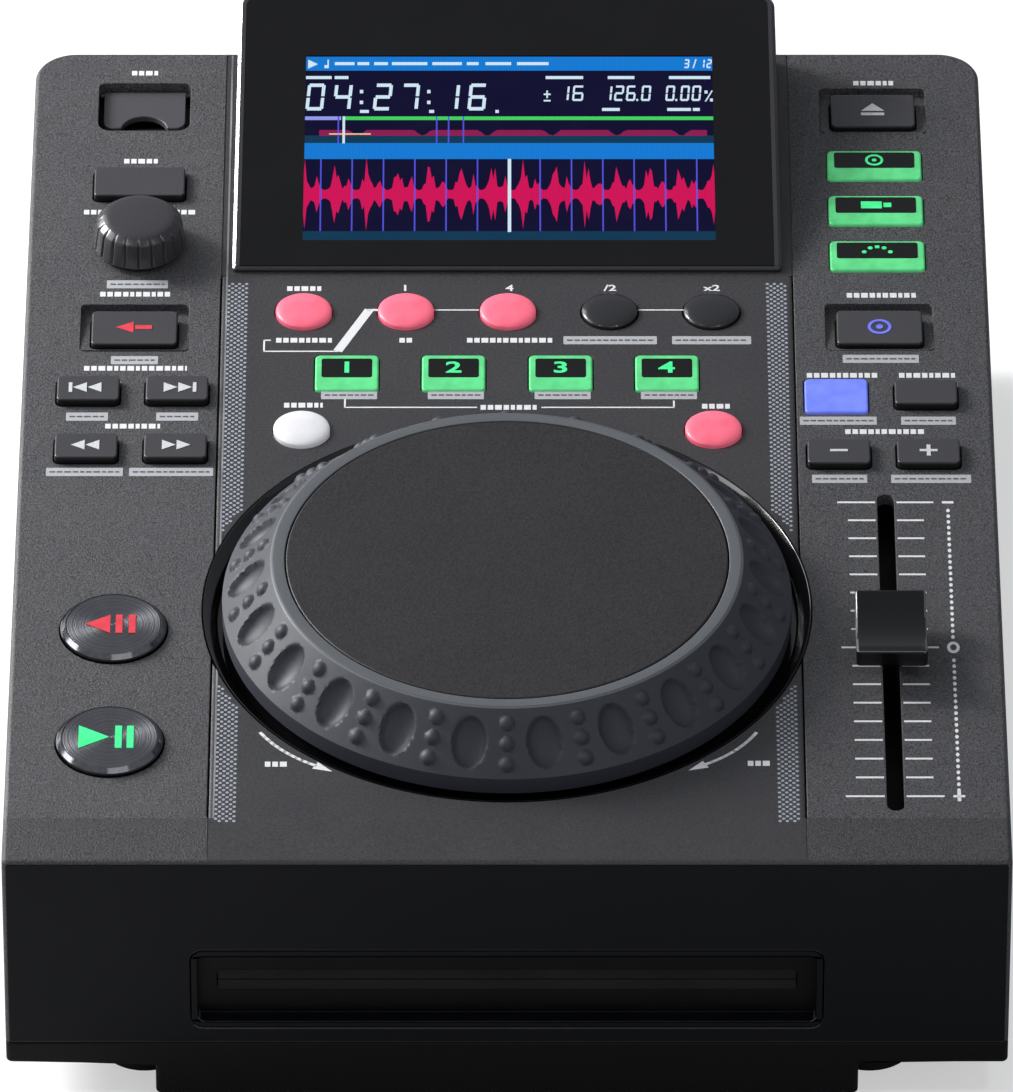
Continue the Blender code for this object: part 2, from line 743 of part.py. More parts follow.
plate_gap = PLATE_WIDTH + 2 * PLATE_GROOVE
plate_middle = (PLATE_FRONT + PLATE_BACK) / 2
plate_length = PLATE_BACK - PLATE_FRONT
screen_gap = (SCREEN_SIZE[0] + 2 * WALL, SCREEN_SIZE[1] + 2 * WALL)
deep = PANEL_THICK + OVERRUN
holes = [rectangle(plate_gap, plate_length + 2 * CLEAR, PLATE_CORNER, 0, plate_middle)]
holes.append(rectangle(*screen_gap, WALL, 0, HOOD_FRONT + SCREEN_MIDDLE))
holes.extend(button_hole(name) for name in BUTTONS if not on_plate(name))
holes.extend(circle(DISC_RADIUS + CLEAR, *spot, DISC_STEPS) for spot in DISCS.values())
holes.append(circle(ENCODER_BUSH + CLEAR, *KNOB_PLACE, SMALL_TURN_STEPS))
holes.append(rectangle(*FADER_SLOT, FADER_SLOT[0] / 2, *FADER_PLACE))
holes.append(rectangle(STICK_WIDTH, STICK_LENGTH, STICK_CORNER, *STICK_PLACE))
cut(housing, panel_hole("holes", holes, deep))
well_hole = WELL_RADIUS + CLEAR
cut(housing, panel_hole("well_hole", [circle(well_hole, 0, JOG_MIDDLE)], deep))

for name, kind in BUTTON_KINDS.items():
    if kind is not IN_POCKET:
        continue
    across, middle = BUTTONS[name][:2]
    front, length = middle - POCKET_BEFORE, POCKET_BEFORE + POCKET_BEHIND
    width = POCKET_BUTTON_WIDTH + 2 * POCKET_SIDE
    spread = rectangle(width, length, POCKET_CORNER, across, front + length / 2)
    scoop = panel_hole("pocket", [spread], 2 * POCKET_DEPTH)
    ramp = math.pi - math.atan(POCKET_DEPTH / length)
    trim(scoop, on_panel(across, front) @ Matrix.Rotation(ramp, 4, "X"))
    cut(housing, scoop)

FRONT = Matrix.Translation((0, FRONT_Y, 0)) @ Matrix.Rotation(math.pi / 2, 4, "X")
slot_hole = rectangle(SLOT_WIDTH, SLOT_HEIGHT, SLOT_CORNER, 0, SLOT_MIDDLE)
cut(housing, plate("slot_hole", [slot_hole], -WALL - OVERRUN, OVERRUN, FRONT))

BACK = Matrix.Translation((0, REAR_Y, 0)) @ Matrix.Rotation(math.pi / 2, 4, "X")
phono_x, phono_level = PHONO_SHARE * BODY_WIDTH, MAIN_BOARD_LEVEL + PHONO_RISE
data_x, data_level = DATA_SHARE * BODY_WIDTH, MAIN_BOARD_LEVEL + DATA_RISE
power_x, power_level = POWER_SHARE * BODY_WIDTH, MAIN_BOARD_LEVEL + POWER_RISE
rocker_x, rocker_level = ROCKER_SHARE * BODY_WIDTH, MAIN_BOARD_LEVEL + ROCKER_RISE
sockets = []
for side in (-1, 1):
    across = phono_x + side * PHONO_PITCH / 2
    sockets.append(circle(PHONO_GROOVE_RADIUS + CLEAR, across, phono_level, SMALL_TURN_STEPS))
sockets.append(rectangle(DATA_BORE_WIDTH, DATA_BORE_HEIGHT, 0, data_x, data_level))
sockets.append(circle(POWER_BORE_RADIUS, power_x, power_level, SMALL_TURN_STEPS))
rocker_hole = (ROCKER_WIDTH + 2 * CLEAR, ROCKER_HEIGHT + 2 * ROCKER_SPACE)
sockets.append(rectangle(*rocker_hole, 0, rocker_x, rocker_level))
cut(housing, plate("socket_holes", sockets, -OVERRUN, WALL + OVERRUN, BACK))

bosses = []
board_level = -CONTROL_BOARD_DROP
boss_x = BODY_WIDTH / 2 - BOSS_SIDE
boss_places = [(side * boss_x, BOSS_FRONT) for side in (-1, 1)]
boss_places += [(side * boss_x, BODY_DEPTH - BOSS_REAR) for side in (-1, 1)]
boss_places.append((-boss_x, WELL_BACK + LEFT_BOSS_ROW_SHARE * ROW_DEPTH))
boss_places.append((boss_x, WELL_BACK + RIGHT_BOSS_ROW_SHARE * ROW_DEPTH))
for across, back in boss_places:
    low, high = (across, back, board_level + CLEAR), (across, back, -PANEL_THICK / 2)
    bosses.append(rod("boss", BOSS_RADIUS, low, high, PANEL, ROD_STEPS))
join(housing, *bosses)
done(housing, "pebbled_black_plastic")

# Center plate, with a flange below the housing's edge and a ring around the wheel's dish
center = rectangle(PLATE_WIDTH, plate_length, PLATE_CORNER, 0, plate_middle)
center_plate = plate("center_plate", [center], -PANEL_THICK - 2 * CLEAR, 0, PANEL)
flange_top = -PANEL_THICK - CLEAR
flange_low = flange_top - PLATE_FLANGE_THICK
flange_size = (PLATE_WIDTH + 2 * PLATE_FLANGE, plate_length + 2 * PLATE_FLANGE)
flange = rectangle(*flange_size, PLATE_CORNER, 0, plate_middle)
join(center_plate, plate("flange", [flange], flange_low, flange_top, PANEL))
collar = circle(WELL_COLLAR, 0, JOG_MIDDLE)
join(center_plate, plate("collar", [collar], flange_low, flange_top, PANEL))
holes = [button_hole(name) for name in BUTTONS if on_plate(name)]
dome_hole = DOME_RADIUS + CLEAR
holes.extend(circle(dome_hole, *spot, SMALL_TURN_STEPS) for spot in DOMES.values())
deep = -flange_low + OVERRUN
cut(center_plate, panel_hole("holes", holes, deep))
cut(center_plate, panel_hole("well_hole", [circle(well_hole, 0, JOG_MIDDLE)], deep))
done(center_plate, "satin_black_plastic")

# Bezel of the disc slot, held behind the front wall by its flange
bezel_size = (SLOT_WIDTH - 2 * CLEAR, SLOT_HEIGHT - 2 * CLEAR)
bezel = rectangle(*bezel_size, SLOT_CORNER - CLEAR, 0, SLOT_MIDDLE)
slot_bezel = plate("slot_bezel", [bezel], -SLOT_DEPTH, 0, FRONT)
flange_size = (SLOT_WIDTH + 2 * SLOT_FLANGE, SLOT_HEIGHT + 2 * SLOT_FLANGE)
flange = rectangle(*flange_size, SLOT_CORNER, 0, SLOT_MIDDLE)
flange_high = -WALL - CLEAR
join(slot_bezel, plate("flange", [flange], flange_high - SLOT_FLANGE_THICK, flange_high, FRONT))
recess_size = (bezel_size[0] - 2 * SLOT_RIM, bezel_size[1] - 2 * SLOT_RIM)
recess = rectangle(*recess_size, SLOT_CORNER - SLOT_RIM, 0, SLOT_MIDDLE)
cut(slot_bezel, plate("recess", [recess], -SLOT_RECESS, OVERRUN, FRONT))
slit = rectangle(SLIT_WIDTH, SLIT_HEIGHT, SLOT_RIM, 0, SLOT_MIDDLE)
cut(slot_bezel, plate("slit", [slit], -SLOT_DEPTH - OVERRUN, 0, FRONT))
done(slot_bezel, "base_black_plastic")

# Base pan: a shallow tray with a deeper belly, and pockets for the feet
foot_x, foot_y = BODY_WIDTH / 2 - FOOT_SIDE, BODY_DEPTH / 2 - FOOT_END
bottom_pan = plate("bottom_pan", [body_outline(0)], PAN_SIDE_LEVEL, PAN_TOP)
belly_length = REAR_CORNER + foot_y - FRONT_Y
belly = rectangle(BELLY_WIDTH, belly_length, FRONT_CORNER, 0, FRONT_Y + belly_length / 2)
join(bottom_pan, plate("belly", [belly], BELLY_LEVEL, PAN_SIDE_LEVEL + WALL / 2))
tray = plate("tray", [body_outline(WALL)], PAN_SIDE_LEVEL + WALL, PAN_TOP + OVERRUN)
cut(bottom_pan, tray)
narrow = foot_x - FOOT_POCKET - WALL
wide = BELLY_WIDTH / 2 - WALL
near = FRONT_Y + WALL
far = foot_y + REAR_CORNER - WALL
step_front = FOOT_POCKET + WALL - foot_y
step_back = foot_y - FOOT_POCKET - WALL
for name, side, front, back in (
    ("hollow", narrow, near, far),
    ("hollow_middle", wide, step_front, step_back),
):
    spread = outline(-side, side, front, back, (0,) * 4)
    cut(bottom_pan, plate(name, [spread], BELLY_LEVEL + WALL, PAN_TOP + OVERRUN))
pockets = []
for x, y in ((foot_x, foot_y), (-foot_x, foot_y), (foot_x, -foot_y), (-foot_x, -foot_y)):
    low, high = (x, y, BELLY_LEVEL - OVERRUN), (x, y, PAN_SIDE_LEVEL + CLEAR)
    pockets.append(rod("foot_pocket", FOOT_POCKET, low, high))
cut(bottom_pan, *pockets)
rear_inside = REAR_Y - WALL - CLEAR
board_width = BODY_WIDTH - 2 * MAIN_BOARD_SIDE
drive_side = DRIVE_WIDTH / 2
drive_front = FRONT_Y + DRIVE_FRONT
drive_back = drive_front + DRIVE_LENGTH
posts = []
for side in (-1, 1):
    x = side * (board_width / 2 - BOARD_POST_SIDE)
    top = MAIN_BOARD_LEVEL - BOARD_THICK - CLEAR
    for y in (rear_inside - MAIN_BOARD_LENGTH + BOARD_POST_END, rear_inside - BOARD_POST_END):
        low, high = (x, y, PAN_SIDE_LEVEL + WALL / 2), (x, y, top)
        posts.append(rod("board_post", POST_RADIUS, low, high, WORLD, ROD_STEPS))
    x = side * (narrow - 2 * POST_RADIUS)
    for y in (drive_front + DRIVE_POST_END, drive_back - DRIVE_POST_END):
        low, high = (x, y, BELLY_LEVEL + WALL / 2), (x, y, DRIVE_LOW - CLEAR)
        posts.append(rod("drive_post", POST_RADIUS, low, high, WORLD, ROD_STEPS))
join(bottom_pan, *posts)
done(bottom_pan, "base_black_plastic")

# Feet, set up in the pockets
foot_top = PAN_SIDE_LEVEL
foot_names = ("foot_front_left", "foot_front_right", "foot_rear_left", "foot_rear_right")
foot_places = ((-foot_x, -foot_y), (foot_x, -foot_y), (-foot_x, foot_y), (foot_x, foot_y))
for name, (x, y) in zip(foot_names, foot_places):
    profile = [(0, foot_top), (FOOT_RADIUS, foot_top), (FOOT_RADIUS, FOOT_EDGE)]
    profile += [(FOOT_RADIUS - FOOT_EDGE, 0), (0, 0)]
    foot = turned(name, profile, Matrix.Translation((x, y, 0)), SMALL_TURN_STEPS)
    done(foot, "foot_rubber")

# Display hood, its dark window and the screen below it
face_level = CLEAR + HOOD_LIP
face_slope = Matrix.Rotation(HOOD_SLOPE, 4, "X")
FACE = on_panel(0, HOOD_FRONT, face_level) @ face_slope


def hood_outline(inset):
    side = HOOD_WIDTH / 2 - inset
    sharp, round_corner = max(HOOD_FRONT_CORNER - inset, 0), HOOD_CORNER - inset
    radii = (sharp, sharp, round_corner, round_corner)
    front, back = HOOD_FRONT + inset, HOOD_BACK - inset
    return outline(-side, side, front, back, radii, BODY_CORNER_STEPS)


def window_outline(grow):
    side = WINDOW_SIZE[0] / 2 + grow
    front, back = WINDOW_END - grow, HOOD_LENGTH - WINDOW_END + grow
    sharp, round_corner = WINDOW_FRONT_CORNER + grow, WINDOW_CORNER + grow
    return outline(-side, side, front, back, (sharp, sharp, round_corner, round_corner))


hood_height = HOOD_BACK * math.sin(HOOD_SLOPE)
display_hood = plate("display_hood", [hood_outline(0)], CLEAR, hood_height, PANEL)
trim(display_hood, FACE, HOOD_EDGE)
window_seat = WINDOW_THICK + CLEAR
cavity = plate("cavity", [hood_outline(HOOD_WALL)], -OVERRUN, hood_height, PANEL)
trim(cavity, FACE @ Matrix.Translation((0, 0, -window_seat - HOOD_WALL)))
cut(display_hood, cavity)
seat = window_outline(CLEAR)
cut(display_hood, plate("seat", [seat], -window_seat, OVERRUN, FACE))
screen_hole = (SCREEN_SIZE[0] + 2 * CLEAR, SCREEN_SIZE[1] + 2 * CLEAR)
opening = rectangle(*screen_hole, 0, 0, SCREEN_MIDDLE)
cut(display_hood, plate("opening", [opening], -hood_height, 0, FACE))
done(display_hood, "satin_black_plastic")

display_window = plate("display_window", [window_outline(0)], -WINDOW_THICK, 0, FACE)
done(display_window, "tinted_glass")

screen_top = -window_seat
screen_spot = FACE @ Matrix.Translation((0, SCREEN_MIDDLE, screen_top - SCREEN_THICK / 2))
display_screen = block("display_screen", (*SCREEN_SIZE, SCREEN_THICK), (0, 0, 0), screen_spot)
done(display_screen, "screen_glass")

# Jog wheel: the dish, its bearing, the shaft, the ring and the platter
JOG = on_panel(0, JOG_MIDDLE)
dish_top = flange_low - CLEAR
dish_floor = -WELL_DEPTH
dish_low = dish_floor - WELL_THICK
profile = [(WELL_RADIUS - WELL_RIM, 0), (WELL_RADIUS, 0), (WELL_RADIUS, dish_top)]
profile += [(WELL_COLLAR, dish_top), (WELL_COLLAR, dish_low), (WELL_HOLE, dish_low)]
profile += [(WELL_HOLE, dish_floor), (WELL_FLOOR_RADIUS, dish_floor)]
done(turned("jog_dish", profile, JOG), "gloss_black_plastic")

bearing_top = dish_low - CLEAR
bearing_low = bearing_top - BEARING_LENGTH
bore = SHAFT_RADIUS + RUNNING_CLEAR
profile = [(bore, bearing_top), (BEARING_RADIUS, bearing_top)]
profile += [(BEARING_RADIUS, bearing_top - BEARING_THICK)]
profile += [(BEARING_TUBE, bearing_top - BEARING_THICK), (BEARING_TUBE, bearing_low)]
profile += [(bore, bearing_low)]
done(turned("jog_bearing", profile, JOG, SMALL_TURN_STEPS), "steel")

web_top = RING_TOP - PLATTER_THICK - CLEAR
web_low = web_top - RING_WEB
shaft_top = web_top - CLEAR
disc_top = web_low - CLEAR
disc_low = disc_top - SHAFT_FLANGE_THICK
profile = [(0, shaft_top), (SHAFT_RADIUS, shaft_top), (SHAFT_RADIUS, disc_top)]
profile += [(SHAFT_FLANGE_RADIUS, disc_top), (SHAFT_FLANGE_RADIUS, disc_low)]
profile += [(SHAFT_RADIUS, disc_low), (SHAFT_RADIUS, bearing_low), (0, bearing_low)]
done(turned("jog_shaft", profile, JOG, SMALL_TURN_STEPS), "steel")

hub = SHAFT_RADIUS + CLEAR
lip = PLATTER_RADIUS + CLEAR
inner = RING_RADIUS - RING_WALL
profile = [(lip, RING_TOP), (RING_TOP_RADIUS, RING_TOP), (RING_RADIUS, RING_SHOULDER)]
profile += [(RING_RADIUS, -RING_SKIRT), (inner, -RING_SKIRT), (inner, RING_SHOULDER / 2)]
profile += [(lip, web_low), (hub, web_low), (hub, web_top), (lip, web_top)]
jog_ring = turned("jog_ring", profile, JOG, DIMPLE_COUNT * DIMPLE_STEPS)
slope_run = RING_RADIUS - RING_TOP_RADIUS
slope_fall = RING_TOP - RING_SHOULDER
slope_lean = math.atan2(slope_fall, slope_run)
slope_radius = (RING_RADIUS + RING_TOP_RADIUS) / 2
slope_level = (RING_TOP + RING_SHOULDER) / 2
work = bmesh.new()
for count in range(DIMPLE_COUNT):
    around = Matrix.Rotation((count + 0.5) * 2 * math.pi / DIMPLE_COUNT, 4, "Z")
    out = Matrix.Translation((0, -slope_radius, slope_level))
    lean = Matrix.Rotation(slope_lean, 4, "X")
    spread = Matrix.Diagonal((*DIMPLE_SIZE, 1))
    oval = around @ out @ lean @ spread
    bmesh.ops.create_uvsphere(work, u_segments=8, v_segments=4, radius=1, matrix=oval)
cut(jog_ring, built("dimples", work, JOG))
done(jog_ring, "wheel_rubber")

profile = [(0, RING_TOP), (PLATTER_RADIUS, RING_TOP)]
profile += [(PLATTER_RADIUS, RING_TOP - PLATTER_THICK), (0, RING_TOP - PLATTER_THICK)]
done(turned("jog_platter", profile, JOG), "platter_grey_plastic")

# Control board: switches below the buttons, and the encoder of the browse knob
side, back = BODY_WIDTH / 2 - CONTROL_BOARD_SIDE, BODY_DEPTH - CONTROL_BOARD_REAR
board_low = board_level - BOARD_THICK
board_outline = outline(-side, side, CONTROL_BOARD_FRONT, back, (WALL,) * 4)
shell_hole = (STICK_SHELL_WIDTH + 2 * CLEAR, STICK_SHELL_LENGTH + 2 * CLEAR)
loops = [board_outline, circle(BEARING_TUBE + CLEAR, 0, JOG_MIDDLE, SMALL_TURN_STEPS)]
loops.append(rectangle(*shell_hole, 0, *STICK_PLACE))
control_board = plate("control_board", loops, board_low, board_level, PANEL)
spots = [row[:2] for row in BUTTONS.values()] + list(DOMES.values()) + list(DISCS.values())
size = (SWITCH_WIDTH, SWITCH_WIDTH, SWITCH_HEIGHT + BOARD_THICK / 2)
middle = (0, 0, board_level + SWITCH_HEIGHT - size[2] / 2)
switches = [block("switch", size, middle, on_panel(*spot)) for spot in spots]
encoder_top = board_level + ENCODER_HEIGHT
size = (ENCODER_WIDTH, ENCODER_WIDTH, ENCODER_HEIGHT + BOARD_THICK / 2)
knob_spot = on_panel(*KNOB_PLACE)
switches.append(block("encoder", size, (0, 0, encoder_top - size[2] / 2), knob_spot))
bush_low = (0, 0, board_level + ENCODER_HEIGHT / 2)
switches.append(rod("bush", ENCODER_BUSH, bush_low, (0, 0, ENCODER_BUSH_TOP), knob_spot))
join(control_board, *switches)
bore_low = (0, 0, board_level + CLEAR)
bore_radius = SHAFT_BROWSE + RUNNING_CLEAR
cut(control_board, rod("bore", bore_radius, bore_low, (0, 0, OVERRUN), knob_spot))
done(control_board, "board_green")

# Push buttons, each with a stem that ends above its switch
stem_low = board_level + SWITCH_HEIGHT + BUTTON_TRAVEL + CLEAR
for name, (across, back, width, length, height) in BUTTONS.items():
    spot = on_panel(across, back)
    button = slab(name, (width, length), -BUTTON_ROOT, height, BUTTON_CORNER, BUTTON_EDGE, spot)
    stem_top = -BUTTON_ROOT / 2
    size = (STEM_WIDTH, STEM_WIDTH, stem_top - stem_low)
    join(button, block("stem", size, (0, 0, (stem_top + stem_low) / 2), spot))
    done(button, BUTTON_LOOKS.get(name, "button_black_plastic"))

for name, place_on in DOMES.items():
    profile = []
    for step in range(DOME_STEPS):
        rise = 0.5 * math.pi * (1 - step / DOME_STEPS)
        crown = DOME_SIDE + (DOME_HEIGHT - DOME_SIDE) * math.sin(rise)
        profile.append((DOME_RADIUS * math.cos(rise) if step else 0, crown))
    profile += [(DOME_RADIUS, DOME_SIDE), (DOME_RADIUS, -BUTTON_ROOT)]
    profile += [(STEM_WIDTH / 2, -BUTTON_ROOT), (STEM_WIDTH / 2, stem_low), (0, stem_low)]
    dome = turned(name, profile, on_panel(*place_on), SMALL_TURN_STEPS)
    done(dome, BUTTON_LOOKS.get(name, "button_black_plastic"))

for name, place_on in DISCS.items():
    profile = [(0, DISC_HEIGHT), (DISC_TOP_RADIUS, DISC_HEIGHT), (DISC_RADIUS, DISC_HEIGHT / 3)]
    profile += [(DISC_RADIUS, -BUTTON_ROOT), (STEM_WIDTH / 2, -BUTTON_ROOT)]
    profile += [(STEM_WIDTH / 2, stem_low), (0, stem_low)]
    done(turned(name, profile, on_panel(*place_on), DISC_STEPS), "dark_metal")

# Browse knob on its shaft, which the encoder holds
grip = KNOB_LIFT + KNOB_BORE_DEPTH
profile = [(0, grip - CLEAR), (SHAFT_BROWSE, grip - CLEAR)]
profile += [(SHAFT_BROWSE, -SHAFT_BROWSE_LOW), (0, -SHAFT_BROWSE_LOW)]
done(turned("browse_shaft", profile, knob_spot, SMALL_TURN_STEPS), "steel")
profile = [(0, KNOB_HEIGHT), (KNOB_TOP_RADIUS, KNOB_HEIGHT - KNOB_DOME)]
profile += [(KNOB_NECK_RADIUS, KNOB_SHOULDER), (KNOB_RADIUS, KNOB_LIFT)]
profile += [(KNOB_BORE, KNOB_LIFT), (KNOB_BORE, grip), (0, grip)]
browse_knob = turned("browse_knob", profile, knob_spot, 2 * KNOB_FLUTES)
flutes = []
for count in range(KNOB_FLUTES):
    turn = (count + 0.5) * 2 * math.pi / KNOB_FLUTES
    low_x, low_y = KNOB_RADIUS * math.cos(turn), KNOB_RADIUS * math.sin(turn)
    high_x, high_y = KNOB_NECK_RADIUS * math.cos(turn), KNOB_NECK_RADIUS * math.sin(turn)
    low, high = (low_x, low_y, KNOB_LIFT - OVERRUN), (high_x, high_y, KNOB_SHOULDER - KNOB_FLUTE)
    flutes.append(rod("flute", KNOB_FLUTE, low, high, knob_spot, FLUTE_STEPS))
cut(browse_knob, *flutes)
done(browse_knob, "button_black_plastic")

# Pitch fader: the body below the panel, and the cap with its stem
fader_spot = on_panel(*FADER_PLACE)
fader_top = -PANEL_THICK - CLEAR
fader_low = board_level + CLEAR
body = rectangle(FADER_BODY_WIDTH, FADER_SLOT[1] + FADER_BODY_LONGER)
fader_body = plate("fader_body", [body], fader_low, fader_top, fader_spot)
guide = rectangle(FADER_GUIDE_WIDTH, FADER_SLOT[1] + FADER_GUIDE_LONGER)
guide_low = fader_top - FADER_GUIDE_DEPTH
cut(fader_body, plate("guide", [guide], guide_low, OVERRUN, fader_spot))
done(fader_body, "dark_metal")
cap_top = FADER_CAP_LIFT + FADER_CAP_HEIGHT
size = (FADER_CAP_WIDTH, FADER_CAP_LENGTH)
fader_cap = slab(
    "fader_cap", size, FADER_CAP_LIFT, cap_top, BUTTON_CORNER, BUTTON_EDGE, fader_spot
)
side = FADER_CAP_WIDTH / 2 + OVERRUN
level = cap_top - FADER_HOLLOW_DEPTH + FADER_HOLLOW_RADIUS
low, high = (-side, 0, level), (side, 0, level)
cut(fader_cap, rod("thumb_hollow", FADER_HOLLOW_RADIUS, low, high, fader_spot, DISC_STEPS * 3))
foot_level = guide_low + CLEAR
size = (FADER_STEM_WIDTH, FADER_STEM_LENGTH, FADER_CAP_LIFT + CLEAR - foot_level)
middle = (0, 0, foot_level + size[2] / 2)
join(fader_cap, block("stem", size, middle, fader_spot))
done(fader_cap, "gloss_black_plastic")

# Memory stick socket in its recess, under a hinged door
stick_spot = on_panel(*STICK_PLACE)
floor = -STICK_FLOOR
flange_size = (STICK_WIDTH + 2 * STICK_FLANGE_SIDE, STICK_LENGTH + 2 * STICK_FLANGE_SIDE)
spread = rectangle(*flange_size, STICK_CORNER)
rim_hole = rectangle(STICK_WIDTH, STICK_LENGTH, STICK_CORNER)
low, high = floor - STICK_FLANGE_THICK, -PANEL_THICK - CLEAR
usb_socket = plate("usb_socket", [spread], low, high, stick_spot)
cut(usb_socket, plate("rim_hole", [rim_hole], floor, OVERRUN, stick_spot))
size = (STICK_SHELL_WIDTH, STICK_SHELL_LENGTH, STICK_SHELL_DEPTH)
join(usb_socket, block("shell", size, (0, 0, floor - size[2] / 2 - CLEAR), stick_spot))
bore = (STICK_SHELL_WIDTH - 2 * STICK_SHELL_WALL, STICK_SHELL_LENGTH - 2 * STICK_SHELL_WALL)
size = (*bore, STICK_BORE_DEPTH + OVERRUN)
cut(usb_socket, block("bore", size, (0, 0, floor - STICK_BORE_DEPTH + size[2] / 2), stick_spot))
done(usb_socket, "steel")

hinge_level = -STICK_DOOR_DROP - STICK_BARREL
hinge_back = STICK_LENGTH / 2 - STICK_HINGE_INSET
hinge_spot = stick_spot @ Matrix.Translation((0, hinge_back, hinge_level))
front = STICK_BARREL - STICK_DOOR_LENGTH
side = STICK_DOOR_WIDTH / 2
loops = [outline(-side, side, front, 0, (STICK_BARREL, STICK_BARREL, 0, 0))]
usb_door = plate("usb_door", loops, -STICK_DOOR_THICK / 2, STICK_DOOR_THICK / 2, hinge_spot)
barrel = rod("barrel", STICK_BARREL, (-side, 0, 0), (side, 0, 0), hinge_spot, ROD_STEPS)
side = STICK_WIDTH / 2 - CLEAR
pin = rod("pin", STICK_PIN_RADIUS, (-side, 0, 0), (side, 0, 0), hinge_spot, FLUTE_STEPS)
join(usb_door, barrel, pin)
notch_y = front - STICK_NOTCH_RADIUS + STICK_NOTCH_DEPTH
low, high = (0, notch_y, -STICK_DOOR_THICK), (0, notch_y, STICK_DOOR_THICK)
cut(usb_door, rod("notch", STICK_NOTCH_RADIUS, low, high, hinge_spot))
done(usb_door, "satin_black_plastic")

# Disc drive: an open chassis with its roller, spindle and laser sled
spindle_y = FRONT_Y + SPINDLE_BACK
roller_y = FRONT_Y + ROLLER_BACK
roller_z = ROLLER_TOP - ROLLER_RADIUS
sled_y = FRONT_Y + SLED_BACK
shell = outline(-drive_side, drive_side, drive_front, drive_back, (0,) * 4)
drive_chassis = plate("drive_chassis", [shell], DRIVE_LOW, DRIVE_HIGH)
inner_side = drive_side - DRIVE_SIDE
inner = outline(-inner_side, inner_side, drive_front - OVERRUN, drive_back - DRIVE_SIDE, (0,) * 4)
cut(drive_chassis, plate("inner", [inner], DRIVE_LOW + DRIVE_PLATE, DRIVE_HIGH + OVERRUN))
plate_low = DRIVE_LOW + DRIVE_PLATE / 2
motor = rod("motor", MOTOR_RADIUS, (0, spindle_y, plate_low), (0, spindle_y, MOTOR_TOP))
rod_level = SLED_LOW + SLED_THICK / 2
rods_front = spindle_y + MOTOR_RADIUS
rods = []
for x in (-SLED_ROD_SPREAD, SLED_ROD_SPREAD):
    low, high = (x, rods_front - SLED_END, rod_level), (x, drive_back - DRIVE_SIDE / 2, rod_level)
    rods.append(rod("guide_rod", SLED_ROD, low, high, WORLD, ROD_STEPS))
size = (SLED_WIDTH, SLED_END, rod_level + SLED_ROD + CLEAR - plate_low)
middle = (0, rods_front - SLED_END / 2, plate_low + size[2] / 2)
join(drive_chassis, motor, block("rod_end", size, middle), *rods)
axle = SPINDLE_AXLE + CLEAR
low, high = (0, spindle_y, DRIVE_LOW + DRIVE_PLATE), (0, spindle_y, SPINDLE_TOP)
cut(drive_chassis, rod("axle_bore", axle, low, high))
side = drive_side + OVERRUN
pin_hole = ROLLER_PIN + CLEAR
low, high = (-side, roller_y, roller_z), (side, roller_y, roller_z)
cut(drive_chassis, rod("pin_hole", pin_hole, low, high))
done(drive_chassis, "steel")

half = ROLLER_LENGTH / 2
reach = drive_side - CLEAR
profile = [(0, reach), (ROLLER_PIN, reach), (ROLLER_PIN, half), (ROLLER_RADIUS, half)]
profile += [(ROLLER_RADIUS, -half), (ROLLER_PIN, -half), (ROLLER_PIN, -reach), (0, -reach)]
roller_spot = Matrix.Translation((0, roller_y, roller_z)) @ Matrix.Rotation(math.pi / 2, 4, "Y")
done(turned("drive_roller", profile, roller_spot, SMALL_TURN_STEPS), "foot_rubber")

profile = [(0, SPINDLE_TOP), (SPINDLE_BOSS - CLEAR, SPINDLE_TOP)]
profile += [(SPINDLE_BOSS, SPINDLE_TABLE_TOP), (SPINDLE_RADIUS, SPINDLE_TABLE_TOP)]
profile += [(SPINDLE_RADIUS, SPINDLE_TABLE_LOW), (SPINDLE_AXLE, SPINDLE_TABLE_LOW)]
profile += [(SPINDLE_AXLE, DRIVE_LOW + DRIVE_PLATE + CLEAR)]
profile += [(0, DRIVE_LOW + DRIVE_PLATE + CLEAR)]
spindle_spot = Matrix.Translation((0, spindle_y, 0))
done(turned("disc_spindle", profile, spindle_spot, SMALL_TURN_STEPS), "satin_black_plastic")

sled_spot = Matrix.Translation((0, sled_y, 0))
middle = (0, 0, rod_level)
laser_sled = block("laser_sled", (SLED_WIDTH, SLED_LENGTH, SLED_THICK), middle, sled_spot)
low, high = (0, 0, rod_level), (0, 0, LENS_TOP)
join(laser_sled, rod("lens", LENS_RADIUS, low, high, sled_spot, SMALL_TURN_STEPS))
bores = []
for x in (-SLED_ROD_SPREAD, SLED_ROD_SPREAD):
    low, high = (x, -SLED_LENGTH, rod_level), (x, SLED_LENGTH, rod_level)
    bores.append(rod("rod_bore", SLED_ROD + CLEAR, low, high, sled_spot, ROD_STEPS))
cut(laser_sled, *bores)
done(laser_sled, "dark_metal")

# Main board at the back, with the sockets that reach through the rear wall
middle_y = rear_inside - MAIN_BOARD_LENGTH / 2
board_floor = MAIN_BOARD_LEVEL - BOARD_THICK
spread = rectangle(board_width, MAIN_BOARD_LENGTH, 0, 0, middle_y)
main_board = plate("main_board", [spread], board_floor, MAIN_BOARD_LEVEL)
size = (CHIP_WIDTH, CHIP_WIDTH, CHIP_HEIGHT + BOARD_THICK / 2)
chip_z = MAIN_BOARD_LEVEL + CHIP_HEIGHT - size[2] / 2
chips = []
for across_share, back_share in CHIP_SHARES:
    x, y = across_share * board_width, middle_y + back_share * MAIN_BOARD_LENGTH
    chips.append(block("chip", size, (x, y, chip_z)))
join(main_board, *chips)
done(main_board, "board_green")


